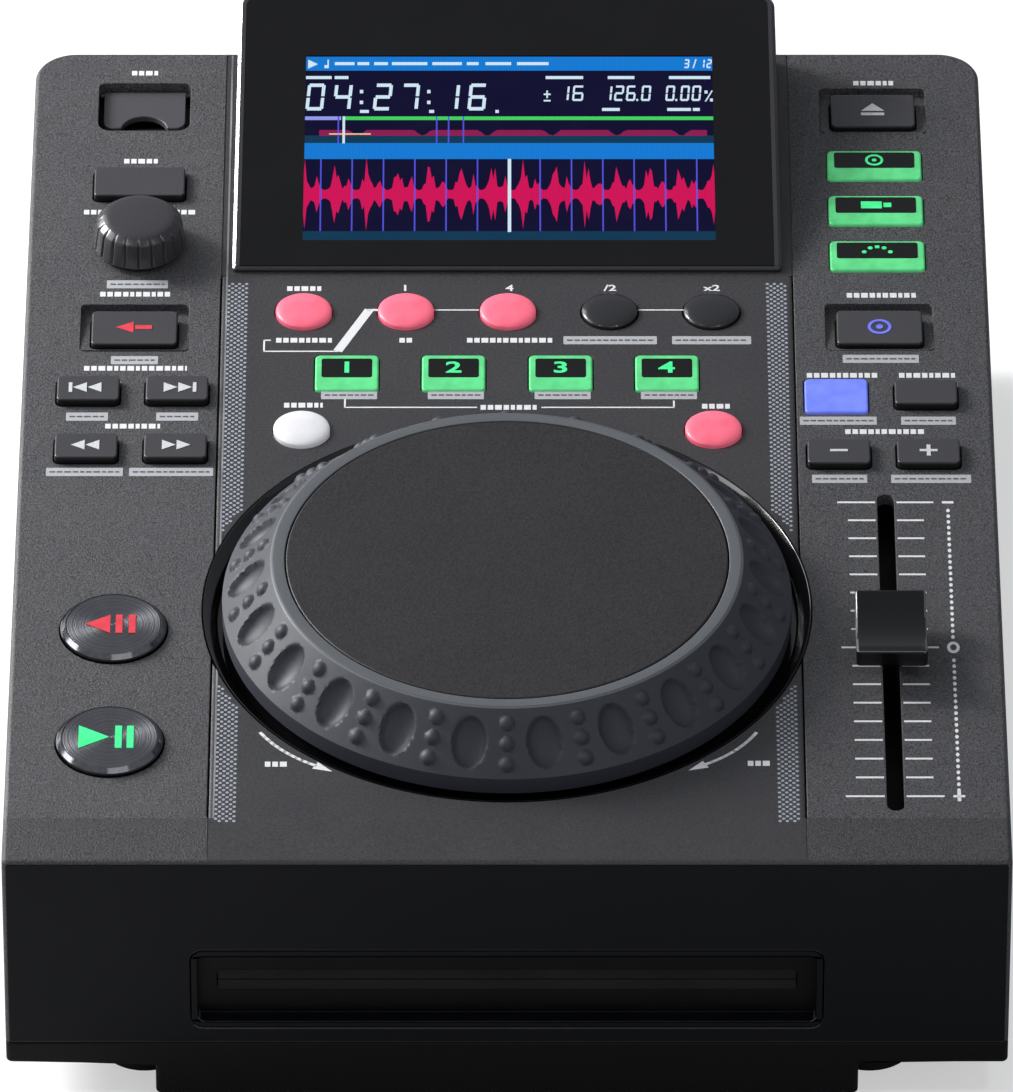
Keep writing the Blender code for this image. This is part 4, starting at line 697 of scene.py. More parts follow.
NODES = frame["nodes"]
FLAT_BUTTONS = buttons(
    "back reverse track_back track_next search_back search_next eject source_disc source_stick "
    "source_link jog_mode key_lock tap pitch_down pitch_up hot_cue_1 hot_cue_2 hot_cue_3 hot_cue_4"
)
DOMES = buttons("auto_loop loop_in loop_out loop_halve loop_double shift slip")
DISCS = buttons("cue play")
CAPS = {name: cap_of(name) for name in (*FLAT_BUTTONS, *DOMES, *DISCS)}

# Sizes of the shell
WALL = mm(2.5)
PANEL_THICK = mm(3)
REAR_CORNER = mm(9.5)
FRONT_CORNER = mm(1.4)
TOP_EDGE = mm(1.1)
HOLE_EDGE = mm(0.22)
KEY_CORNER = mm(1.2)
BODY_CORNER_STEPS = 12
EDGE_STEPS = 4
SLOT_STEPS = 8
# A wall's normal rises less than this
STEEP = 0.3

PLATE_UNDER = panel_box("center_plate")[0].z
PLATE_HALF = mm(65.2)
PLATE_GROOVE = mm(0.35)
PLATE_FRONT, PLATE_BACK = mm(15, 209.5)
PLATE_LENGTH, PLATE_MIDDLE = PLATE_BACK - PLATE_FRONT, (PLATE_FRONT + PLATE_BACK) / 2
PLATE_END = mm(0.6)
BANK_WIDTH, BANK_DROP = mm(0.9, 0.28)
SEAM_ACROSS, SEAM_WIDTH, SEAM_DEPTH = mm(65.4, 0.14, 0.25)
SEAM_START = mm(1.3)
CREST_HIGHLIGHT_WIDTH, CREST_HIGHLIGHT_HEIGHT = mm(0.42, 0.07)
PANEL_LENGTH = (REAR_Y - FRONT_Y) / math.cos(PANEL_TILT) - SEAM_START
JOG_MIDDLE = place_of("jog_dish")[1]
JOG = on_panel(0, JOG_MIDDLE)
WELL_RADIUS = mm(67.6)
WELL = circle(WELL_RADIUS + GAP, 0, JOG_MIDDLE, TURN_STEPS)
KNOB_PLACE = place_of("browse_knob")
BUSH_RADIUS = mm(4.6)
FADER_PLACE = place_of("fader_cap")
FADER_SLOT = mm(3.8, 111.1)
STICK_PLACE = place_of("usb_socket")
STICK_RECESS = mm(21.3, 18.3)
STICK_CORNERS = mm(3, 3, 1.5, 1.5)
POCKET_DEPTH = mm(2.1)
POCKET_SIDE = mm(2.5)
POCKET_BEFORE, POCKET_BEHIND = mm(7.4, 10.0)
POCKET_BUTTONS = buttons("reverse eject jog_mode")

FRONT = Matrix.Translation((0, FRONT_Y, 0)) @ about("X", QUARTER)
BACK = Matrix.Translation((0, REAR_Y, 0)) @ about("X", QUARTER)
SLOT_SIZE = mm(138.8, 21.0)
SLOT_MIDDLE = mm(31.6)
SLOT_CORNER = mm(3)
SCREEN_GAP = mm(109, 67)
SCREEN_GAP_MIDDLE = mm(247.1)
PHONO_PLACES = mm(-70, -54)
PHONO_HOLE = mm(7.5)
PHONO_LEVEL = mm(33)
DATA_PLACE = mm(-14, 30.3)
DATA_HOLE = mm(8.9, 8.2)
POWER_PLACE = mm(34, 31.1)
POWER_HOLE = mm(4.6)
ROCKER_PLACE = mm(72, 36)
ROCKER_HOLE = mm(18.6, 12.6)


def body_outline(inset):
    side = HALF_WIDTH - inset
    front, back = max(FRONT_CORNER - inset, 0), REAR_CORNER - inset
    radii = (front, front, back, back)
    return outline(-side, side, FRONT_Y + inset, REAR_Y - inset, radii, BODY_CORNER_STEPS)


def sliced(work, spot, normal, clear=False):
    """Parts a bmesh's faces along a plane, and gives the new edges."""
    everything = work.verts[:] + work.edges[:] + work.faces[:]
    plane = {"plane_co": spot, "plane_no": normal, "clear_outer": clear}
    found = bmesh.ops.bisect_plane(work, geom=everything, **plane)
    return [item for item in found["geom_cut"] if isinstance(item, bmesh.types.BMEdge)]


def trim(made, spot, edge=0, segments=EDGE_STEPS):
    """Cuts away what lies above the frame's xy plane, and rounds the new edge."""
    work = bmesh.new()
    work.from_mesh(made.data)
    local = made.matrix_world.inverted() @ spot
    rim = sliced(work, local.translation, local.to_3x3() @ Vector((0, 0, 1)), True)
    bmesh.ops.edgeloop_fill(work, edges=rim)
    bmesh.ops.recalc_face_normals(work, faces=work.faces)
    if edge:
        bmesh.ops.bevel(work, geom=rim, offset=edge, segments=segments, profile=0.5, affect="EDGES")
    work.to_mesh(made.data)
    work.free()
    return made


def panel_hole(loops, depth=PANEL_THICK + OVERRUN):
    return plate(loops, -depth, OVERRUN, PANEL)


def key_hole(name):
    across, back, width, length, _ = CAPS[name]
    return rectangle(width + 2 * GAP, length + 2 * GAP, KEY_CORNER + GAP, across, back)


def round_hole(name):
    across, back, width, _, _ = CAPS[name]
    return circle(width / 2 + GAP, across, back)


def on_plate(name):
    return abs(CAPS[name][0]) < PLATE_HALF


def housing_look(face):
    """The housing's slot for a face: 0 wings, 1 walls in painted shade, 2 middle, 3 front strip in
    painted shade.
    """
    side = abs(face.center.x)
    outside = max(side - HALF_WIDTH, FRONT_Y - face.center.y)
    rear = face.center.y - REAR_Y
    corner = Vector((side - HALF_WIDTH, rear)) + REAR_CORNER * Vector((1, 1))
    if min(corner) > 0:
        outside = corner.length - REAR_CORNER
    if abs(face.normal.z) < STEEP and max(outside, rear) > -MM / 10:
        return 1
    if side < SEAM_ACROSS:
        return 2
    return 3 if face.center.y < FRONT_Y + PLATE_FRONT else 0


def seams():
    """Fine lines that part the middle from the wings, in front of and behind the plate."""
    places = [(SEAM_START, PLATE_FRONT, SEAM_WIDTH), (PLATE_BACK, PANEL_LENGTH, PLATE_GROOVE)]
    loops = []
    for side in (-1, 1):
        for front, back, width in places:
            across = side * (PLATE_HALF + width / 2)
            loops.append(rectangle(width, back - front, 0, across, (front + back) / 2))
    return loops


def part_faces(made):
    """Parts the housing's faces where its looks change, and leaves them joined."""
    work = bmesh.new()
    work.from_mesh(made.data)
    sliced(work, (-SEAM_ACROSS, 0, 0), (1, 0, 0))
    sliced(work, (SEAM_ACROSS, 0, 0), (1, 0, 0))
    sliced(work, (0, FRONT_Y + PLATE_FRONT, 0), (0, 1, 0))
    work.to_mesh(made.data)
    work.free()


def panel_openings():
    """What is cut through the wings: the plate's place, the screen's, and the controls'."""
    gap = 2 * (PLATE_HALF + PLATE_GROOVE)
    holes = [rectangle(gap, PLATE_LENGTH - 2 * PLATE_END, 0, 0, PLATE_MIDDLE)]
    holes.append(rectangle(*SCREEN_GAP, WALL, 0, SCREEN_GAP_MIDDLE))
    holes.extend(key_hole(name) for name in FLAT_BUTTONS if not on_plate(name))
    holes.extend(round_hole(name) for name in DISCS)
    holes.append(circle(BUSH_RADIUS + GAP, *KNOB_PLACE))
    holes.append(rectangle(*FADER_SLOT, FADER_SLOT[0] / 2, *FADER_PLACE, steps=SLOT_STEPS))
    across, back = STICK_PLACE
    side, end = STICK_RECESS[0] / 2, STICK_RECESS[1] / 2
    edges = (across - side, across + side, back - end, back + end)
    holes.append(outline(*edges, STICK_CORNERS))
    return holes


def rear_openings():
    holes = [circle(PHONO_HOLE, across, PHONO_LEVEL) for across in PHONO_PLACES]
    holes.append(rectangle(*DATA_HOLE, 0, *DATA_PLACE))
    holes.append(circle(POWER_HOLE, *POWER_PLACE))
    holes.append(rectangle(*ROCKER_HOLE, 0, *ROCKER_PLACE))
    return holes


def cut_pocket(housing, name):
    """A ramp that leads down to a button, deepest behind it."""
    across, middle, width, _, _ = CAPS[name]
    front, length = middle - POCKET_BEFORE, POCKET_BEFORE + POCKET_BEHIND
    spread = (width + 2 * POCKET_SIDE, length, KEY_CORNER, across, front + length / 2)
    scoop = panel_hole([rectangle(*spread)], 2 * POCKET_DEPTH)
    ramp = math.pi - math.atan(POCKET_DEPTH / length)
    trim(scoop, on_panel(across, front) @ about("X", ramp))
    cut(housing, scoop)


def make_housing():
    sky = HOUSING_HIGH.z + OVERRUN
    housing = plate([body_outline(0)], HOUSING_LOW.z, sky)
    trim(housing, PANEL, TOP_EDGE)
    cavity = plate([body_outline(WALL)], HOUSING_LOW.z - OVERRUN, sky)
    trim(cavity, on_panel(0, 0, -PANEL_THICK))
    cut(housing, cavity)
    cut(housing, panel_hole(panel_openings()))
    cut(housing, panel_hole([WELL]))
    for name in POCKET_BUTTONS:
        cut_pocket(housing, name)
    slot = rectangle(*SLOT_SIZE, SLOT_CORNER, 0, SLOT_MIDDLE)
    cut(housing, plate([slot], -WALL - OVERRUN, OVERRUN, FRONT))
    cut(housing, plate(rear_openings(), -OVERRUN, WALL + OVERRUN, BACK))
    soften(housing, HOLE_EDGE)
    ends = []
    gap = 2 * (PLATE_HALF + PLATE_GROOVE) - MM / 10
    for middle in (PLATE_FRONT + PLATE_END, PLATE_BACK - PLATE_END):
        ends.append(rectangle(gap, 2 * PLATE_END, 0, 0, middle))
    cut(housing, panel_hole(ends))
    cut(housing, plate(seams(), -SEAM_DEPTH, OVERRUN, PANEL))
    part_faces(housing)
    dress(housing, "upper_shell", PEBBLED, BODY, ["top_housing"])
    # The walls and the wings' front strip get painted shade
    repaint(housing, (WALL_SHADE_BLACK, SATIN, PEBBLED_FRONT_SHADE), housing_look)


def make_center_plate():
    spread = rectangle(2 * PLATE_HALF, PLATE_LENGTH + OVERRUN, 0, 0, PLATE_MIDDLE)
    center = plate([spread], PLATE_UNDER, 0, PANEL)
    lean = math.atan(BANK_DROP / BANK_WIDTH)
    for side in (-1, 1):
        trim(center, on_panel(side * (PLATE_HALF - BANK_WIDTH), 0) @ about("Y", side * lean))
    holes = [key_hole(name) for name in FLAT_BUTTONS if on_plate(name)]
    holes.extend(round_hole(name) for name in DOMES)
    cut(center, panel_hole(holes, -PLATE_UNDER + OVERRUN))
    cut(center, panel_hole([WELL], -PLATE_UNDER + OVERRUN))
    soften(center, HOLE_EDGE)
    for edge, turn in ((PLATE_FRONT, QUARTER), (PLATE_BACK, -QUARTER)):
        trim(center, on_panel(0, edge) @ about("X", turn))
    dress(center, "center_panel", SATIN, BODY, ["center_plate"])
    # Painted highlight: a thin bright strip along the plate's left edge only
    across = PLATE_HALF - BANK_WIDTH - CREST_HIGHLIGHT_WIDTH / 2
    length, middle = PANEL_LENGTH - PLATE_FRONT, (PANEL_LENGTH + PLATE_FRONT) / 2
    line = rectangle(CREST_HIGHLIGHT_WIDTH, length, 0, -across, middle)
    crest_highlight = plate([line], -MM / 5, CREST_HIGHLIGHT_HEIGHT, PANEL)
    cut(crest_highlight, panel_hole([WELL], OVERRUN))
    dress(crest_highlight, "panel_crest_painted_highlight", EDGE_HIGHLIGHT)


SLOT_RIM = mm(1.4)
SLOT_EDGE_ACROSS = SLOT_SIZE[0] / 2 - GAP - 2 * SLOT_RIM
SLOT_EDGE_LEVEL = SLOT_SIZE[1] / 2 - 2 * SLOT_RIM
SLOT_RECESS = mm(3.6)
SLOT_DEPTH = mm(7.4)
SLIT_SIZE = mm(127, 5.4)
# How far the faces of the slant with the painted highlight look up: least and most
LIP_SLANT = (0.2, 0.98)


def bezel_look(face):
    """The bezel's slot for a face: 0 inside, 1 flush rim in painted shade, 2 the slant along the lower
    edge, in painted highlight.
    """
    level = face.center.y - SLOT_MIDDLE
    slanted = LIP_SLANT[0] < face.normal.y < LIP_SLANT[1]
    if level < -SLOT_EDGE_LEVEL and slanted and face.center.z > -SLOT_RIM:
        return 2
    out = abs(face.center.x) > SLOT_EDGE_ACROSS or abs(level) > SLOT_EDGE_LEVEL
    return 1 if out and face.center.z > -SLOT_RECESS / 2 else 0


def make_bezel():
    width, height = SLOT_SIZE[0] - 2 * GAP, SLOT_SIZE[1] - 2 * GAP
    spread = rectangle(width, height, SLOT_CORNER - GAP, 0, SLOT_MIDDLE)
    bezel = plate([spread], -SLOT_DEPTH, 0, FRONT)
    inner = (width - 2 * SLOT_RIM, height - 2 * SLOT_RIM, SLOT_CORNER - SLOT_RIM)
    recess = rectangle(*inner, 0, SLOT_MIDDLE)
    cut(bezel, plate([recess], -SLOT_RECESS, OVERRUN, FRONT))
    slit = rectangle(*SLIT_SIZE, SLOT_RIM, 0, SLOT_MIDDLE)
    cut(bezel, plate([slit], -SLOT_DEPTH - OVERRUN, 0, FRONT))
    soften(bezel, HOLE_EDGE, 3)
    dress(bezel, "slot_frame", SLOT_BLACK, BODY, ["slot_bezel"])
    # The rim gets painted shade, and the lower slant a painted highlight
    repaint(bezel, (WALL_SHADE_BLACK, LIP_HIGHLIGHT), bezel_look)


make_housing()
make_center_plate()
make_bezel()


# Display hood, with its face, window and screen

HOOD_LOW, HOOD_HIGH = panel_box("display_hood")
HOOD_CORNERS = mm(1, 1, 4, 4)
HOOD_EDGE = mm(0.7)
HOOD_WALL = mm(2.5)
HOOD_SLOPE = math.radians(12.5)
HOOD_LIP = mm(1.2)
# The share of its width that the hood loses per metre of height
DRAFT = 0.65
FACE = on_panel(0, HOOD_LOW.y, GAP + HOOD_LIP) @ about("X", HOOD_SLOPE)
FACE_LENGTH = (HOOD_HIGH.y - HOOD_LOW.y) / math.cos(HOOD_SLOPE)
WINDOW_SIDE = mm(1.7)
WINDOW_END = mm(0.5, 1.7)
WINDOW_CORNERS = mm(0.2, 0.2, 2.4, 2.4)
WINDOW_THICK = mm(0.9)
WINDOW_GAP = mm(0.06)
LCD_WIDTH, LCD_HEIGHT = mm(95.04, 56.0)
LCD_ACROSS, LCD_LOW = mm(0.5, 8.1)
LCD_LEVEL = mm(-0.12)
LAYER = mm(0.02)


def hood_outline(inset):
    side = HOOD_HIGH.x - inset
    front, back = HOOD_LOW.y + inset, HOOD_HIGH.y - inset
    radii = [max(corner - inset, 0) for corner in HOOD_CORNERS]
    return outline(-side, side, front, back, radii, BODY_CORNER_STEPS)


def window_outline(grow):
    side = HOOD_HIGH.x - WINDOW_SIDE + grow
    front, back = WINDOW_END[0] - grow, FACE_LENGTH - WINDOW_END[1] + grow
    radii = [corner + grow for corner in WINDOW_CORNERS]
    return outline(-side, side, front, back, radii)


def lean_in(made):
    """Draws the sides in as they rise from the panel."""
    there = PANEL_INVERSE @ made.matrix_world
    for vertex in made.data.vertices:
        point = there @ vertex.co
        point.x *= 1 - DRAFT * max(point.z, 0)
        vertex.co = there.inverted() @ point


def make_hood():
    tall = HOOD_HIGH.z + OVERRUN
    hood = plate([hood_outline(0)], GAP, tall, PANEL)
    trim(hood, FACE, HOOD_EDGE, 1)
    cavity = plate([hood_outline(HOOD_WALL)], -OVERRUN, tall, PANEL)
    under = Matrix.Translation((0, 0, -WINDOW_THICK - GAP - HOOD_WALL))
    trim(cavity, FACE @ under)
    cut(hood, cavity)
    seat = window_outline(WINDOW_GAP)
    cut(hood, plate([seat], -WINDOW_THICK - GAP, OVERRUN, FACE))
    lean_in(hood)
    dress(hood, "hood_shell", HOOD, BODY, ["display_hood"])
    # Painted highlight on the hood's left-facing edge faces
    repaint(hood, [EDGE_HIGHLIGHT], lambda face: int(face.normal.x < -STEEP < STEEP < face.normal.z))
    window = plate([window_outline(0)], -WINDOW_THICK, 0, FACE)
    lcd = rectangle(LCD_WIDTH, LCD_HEIGHT, 0, LCD_ACROSS, LCD_LOW + LCD_HEIGHT / 2)
    cut(window, plate([lcd], 2 * LCD_LEVEL, OVERRUN, FACE))
    lean_in(window)
    dress(window, "screen_window", WINDOW_BLACK, BODY, ["display_window"])



# The screen's picture, in its own pixels: across from the left, down from the top
SCREEN_PIXELS = (416, 184)
NAVY = (5, 3, 46)
BAR_BLUE = (12, 124, 216)
PLAYED_BLUE = (150, 160, 238)
PALE = (214, 238, 252)
CREAM = (236, 222, 168)
LINE_GREEN = (70, 214, 96)
MAGENTA = (212, 10, 88)
DARK_RED = (146, 22, 84)
TEAL = (8, 56, 86)
BEAT_BLUE = (84, 84, 226)


def screen_point(x, y):
    across = LCD_ACROSS + (x / SCREEN_PIXELS[0] - 0.5) * LCD_WIDTH
    return across, LCD_LOW + (1 - y / SCREEN_PIXELS[1]) * LCD_HEIGHT


def draw(name, shapes, colour, layer):
    """Flat shapes on the screen: each a list of its corners, in screen pixels."""
    work = bmesh.new()
    level = LCD_LEVEL + layer * LAYER
    for shape in shapes:
        corners = [work.verts.new((*screen_point(*point), level)) for point in shape]
        work.faces.new(corners)
    for face in work.faces:
        face.normal_update()
        if face.normal.z < 0:
            face.normal_flip()
    built(name, work, FACE, screen_colour(*colour), BODY, turn=False)


def box_shape(left, top, right, bottom):
    return [(left, top), (right, top), (right, bottom), (left, bottom)]


# The strokes of each figure, from 0 to 9
PARTS_OF_DIGITS = "abcdef bc abged abgcd fgbc afgcd afgcde abc abcdefg abcdfg"
SEGMENTS = dict(zip("0123456789", PARTS_OF_DIGITS.split()))
DIGIT_SLANT = 0.1
COLON_RISES = (0.3, 0.7)


def digit_shapes(digit, left, top, width, height, thick):
    """A seven-segment digit, leaning a little to the right."""
    middle, half = top + height / 2, thick / 2
    right, bottom = left + width, top + height
    bars = {
        "a": box_shape(left + half, top, right - half, top + thick),
        "b": box_shape(right - thick, top + half, right, middle - half / 2),
        "c": box_shape(right - thick, middle + half / 2, right, bottom - half),
        "d": box_shape(left + half, bottom - thick, right - half, bottom),
        "e": box_shape(left, middle + half / 2, left + thick, bottom - half),
        "f": box_shape(left, top + half, left + thick, middle - half / 2),
        "g": box_shape(left + half, middle - half, right - half, middle + half),
    }
    shapes = [bars[part] for part in SEGMENTS[digit]]
    return [[(x + (bottom - y) * DIGIT_SLANT, y) for x, y in shape] for shape in shapes]


def number_shapes(text, left, top, width, height, thick, gap):
    shapes = []
    bottom = top + height
    for sign in text:
        if sign in SEGMENTS:
            shapes += digit_shapes(sign, left, top, width, height, thick)
            left += width + gap
        elif sign == ":":
            for rise in COLON_RISES:
                y = top + height * rise
                shapes.append(box_shape(left, y - thick / 2, left + thick, y + thick / 2))
            left += thick + gap
        else:
            point = left - gap / 2
            shapes.append(box_shape(point, bottom - thick, point + thick, bottom))
            left += thick + gap / 2
    return shapes


# Figures: left, top, width and height of the first, width of its strokes, gap to the next
FIGURES_BY_BAR = {
    "3": (385, 3.5, 5.4, 9, 1.5, 2),
    "12": (401, 3.5, 5, 9, 1.5, 2),
}
CLOCK_FIGURES = {
    "04:27:16": (1.5, 28, 18, 27, 3.4, 9.6),
    "16": (257, 30, 11, 15.5, 2, 3.6),
    "126.0": (302, 30, 9.4, 15.5, 2, 2.6),
    "0.00": (366, 30, 9, 15.5, 2, 2.6),
}
# Plain bars in place of words: for each level, the left end and width of each
DASH_HEIGHT_ON_SCREEN = 3
BAR_WORDS = {
    6.5: ((31, 20), (54, 12), (71, 14), (89, 36), (130, 30), (165, 12), (184, 26), (216, 32)),
    20.5: ((2, 26), (31, 14), (245, 38), (308, 27), (370, 42)),
}
CLOCK_WORDS = {
    52.5: ((302, 18), (368, 24), (394, 7)),
    54.5: ((57, 9), (127, 5), (194, 3.5)),
}
# A box is its left, top, right and bottom, and another shape a list of its corners
PLAY_TRIANGLE = [(4, 4), (14, 8.5), (4, 13)]
NOTE_BOXES = ((23.6, 4, 25, 11), (20.5, 9.5, 25, 12.5))
COUNT_SLASH = [(394, 12.5), (397, 3.5), (398.4, 3.5), (395.4, 12.5)]
PLUS_MINUS_BOXES = ((243, 38, 250, 39.6), (245.7, 35, 247.3, 42.6), (243, 44.4, 250, 46))
PERCENT_SLASH = [(406, 46), (413, 35), (414.6, 35), (407.6, 46)]
PERCENT_BOXES = ((406, 35, 409, 38), (411.4, 43, 414.4, 46))
# Levels of the picture's rows
TITLE_BAR = (1, 15)
RULE = (61, 64.6)
HILL_BASE, HILL_OVERLAP = 80, 0.2
WAVE_BAR = (87.5, 103.5)
WAVE_MIDDLE = 138.5
FOOT_BAR = 175
# The tune as a whole: where the rule parts, humps, the mark, posts and the play head
RULE_SPLIT = (38, 40)
HILL_FROM, HILL_STEP = 16, 4
HILL_TOP, HILL_GAIN, HILL_TURN, HILL_START, HILL_CUT = 5.4, 3.2, 0.048, 0.5, 0.3
MARK_BOX = (26, 78, 68, 79.2)
POSTS, POST_WIDTH = (34.5, 134, 146, 161), 1.5
HEAD_BOX = (39.5, RULE[0], 42, 88)
NOW_BOX = (206.6, WAVE_BAR[1], 210, 176)
# The wave: bursts after each beat, as place, spread and height
BEAT_PITCH = 31.6
BEAT_START = 18
BEAT_SIDES = (0.7, 0.8)
WAVE_STEP = 2
BURSTS = ((15, 4.6, 30), (28, 3.2, 15))
WAVE_FLOOR = 4
SPIKE_FLOOR, SPIKE_GAIN = 0.35, 0.8
SPIKE_TURNS, SPIKE_START = (2.13, 0.87), 1.1


def dash_shapes(rows):
    shapes = []
    for top, words in rows.items():
        for left, width in words:
            shapes.append(box_shape(left, top, left + width, top + DASH_HEIGHT_ON_SCREEN))
    return shapes


def figure_shapes(figures):
    return [shape for text, spot in figures.items() for shape in number_shapes(text, *spot)]


def wave_height(column):
    """A made-up sound wave: two bursts to a beat, with fine spikes."""
    beat = (column - BEAT_START) % BEAT_PITCH
    spin = math.sin(column * SPIKE_TURNS[0]) * math.cos(column * SPIKE_TURNS[1] + SPIKE_START)
    spikes = SPIKE_FLOOR + SPIKE_GAIN * abs(spin)
    rise = WAVE_FLOOR
    for middle, spread, tall in BURSTS:
        away = min(abs(beat - middle), BEAT_PITCH - abs(beat - middle))
        rise += tall * spikes * math.exp(-((away / spread) ** 2))
    return rise


def hill_height(column):
    """Low humps that stand for the whole tune."""
    swing = HILL_GAIN * abs(math.sin(column * HILL_TURN + HILL_START)) - HILL_CUT
    return HILL_TOP * min(1, max(0, swing))


def band(height, start, end, step, base, depth=None):
    """Slices of a curve: up to its height above base, and down to a depth or as far below."""
    slices = []
    for left in range(start, end, step):
        right = left + step
        before, after = height(left), height(right)
        feet = (after, before) if depth is None else (depth, depth)
        low = [(right, base + feet[0]), (left, base + feet[1])]
        slices.append([(left, base - before), (right, base - after), *low])
    return slices


def make_screen():
    wide, tall = SCREEN_PIXELS
    draw("screen_back", [box_shape(0, 0, wide, tall)], NAVY, 0)
    bars = [box_shape(0, top, wide, bottom) for top, bottom in (TITLE_BAR, WAVE_BAR)]
    draw("screen_bars", bars, BAR_BLUE, 1)
    signs = [PLAY_TRIANGLE, COUNT_SLASH, *(box_shape(*box) for box in NOTE_BOXES)]
    draw("screen_signs", signs + dash_shapes(BAR_WORDS) + figure_shapes(FIGURES_BY_BAR), PALE, 2)
    clock = [PERCENT_SLASH, *(box_shape(*box) for box in PLUS_MINUS_BOXES + PERCENT_BOXES)]
    draw("screen_clock", clock + dash_shapes(CLOCK_WORDS) + figure_shapes(CLOCK_FIGURES), PALE, 2)
    draw("screen_rest", [box_shape(RULE_SPLIT[1], RULE[0], wide, RULE[1])], LINE_GREEN, 2)
    draw("screen_played", [box_shape(0, RULE[0], RULE_SPLIT[0], RULE[1])], PLAYED_BLUE, 2)
    hill_end = wide - 2 * HILL_STEP
    hills = band(hill_height, HILL_FROM, hill_end, HILL_STEP, HILL_BASE, HILL_OVERLAP)
    draw("screen_hills", hills, DARK_RED, 2)
    low = [box_shape(0, HILL_BASE, wide, WAVE_BAR[0]), box_shape(0, FOOT_BAR, wide, tall)]
    draw("screen_low", low, TEAL, 1)
    draw("screen_mark", [box_shape(*MARK_BOX)], CREAM, 3)
    posts = [box_shape(x, RULE[0], x + POST_WIDTH, WAVE_BAR[0]) for x in POSTS]
    draw("screen_posts", posts, BEAT_BLUE, 3)
    draw("screen_head", [box_shape(*HEAD_BOX)], PALE, 4)
    draw("screen_wave", band(wave_height, 0, wide, WAVE_STEP, WAVE_MIDDLE), MAGENTA, 2)
    beats = []
    beat = BEAT_START
    while beat + POST_WIDTH < wide:
        left, right = beat - BEAT_SIDES[0], beat + BEAT_SIDES[1]
        beats.append(box_shape(left, WAVE_BAR[1], right, FOOT_BAR))
        beat += BEAT_PITCH
    draw("screen_beats", beats, BEAT_BLUE, 3)
    draw("screen_now", [box_shape(*NOW_BOX)], PALE, 4)


make_hood()
make_screen()


# Jog wheel: the dish, the ring with its ovals and bumps, the band and the platter

RING_TOP = mm(14)
BAND_IN, BAND_OUT = mm(49.35, 51.9)
RING_SHOULDER_AT = mm(52.5, 13.7)
RING_FOOT_AT = mm(63.3, 2.7)
RING_SKIRT = mm(-1.3)
RING_INNER = mm(60.7)
PLATTER_RADIUS = mm(49.05)
PLATTER_LOW = mm(11.4)
OVALS = 22
STEPS_PER_OVAL = 36
SLOPE_STEPS = 34
OVAL_HALF = mm(3.85, 5.7)
OVAL_DEPTH = mm(2.2)
OVAL_ROUND = mm(0.25)
# How much less deep an oval starts at its rim
OVAL_RIM = 0.35
BUMP_RADIUS = mm(1.62)
BUMP_HEIGHT = mm(1.0)
BUMP_SPREAD = mm(4.55)
DISH_CHAMFER = ((mm(67.5), 0), (mm(67.3), mm(-0.1)), (mm(64.9), mm(-2.3)), (mm(64.4), mm(-3.2)))
DISH_FLOOR = mm(-5)
DISH_UNDER = mm(-6.6)
DISH_COLLAR = mm(70.5)
DISH_COLLAR_TOP = mm(-5.1)
DISH_HOLE = mm(6)


def slope_dent(across, along):
    """How deep an oval goes at a place on the ring's slope."""
    reach = math.hypot(across / OVAL_HALF[0], along / OVAL_HALF[1])
    if reach < 1:
        rim = min(1, (1 - reach) * OVAL_HALF[0] / OVAL_ROUND)
        return OVAL_DEPTH * math.sqrt(1 - reach * reach) * (1 - OVAL_RIM * (1 - rim))
    return 0


def slope_bump(across, along):
    """How high a row of three bumps stands at a place on the ring's slope."""
    best = 0
    for row in (-1, 0, 1):
        reach = math.hypot(across, along - row * BUMP_SPREAD) / BUMP_RADIUS
        if reach < 1:
            best = max(best, BUMP_HEIGHT * math.sqrt(1 - reach * reach))
    return best


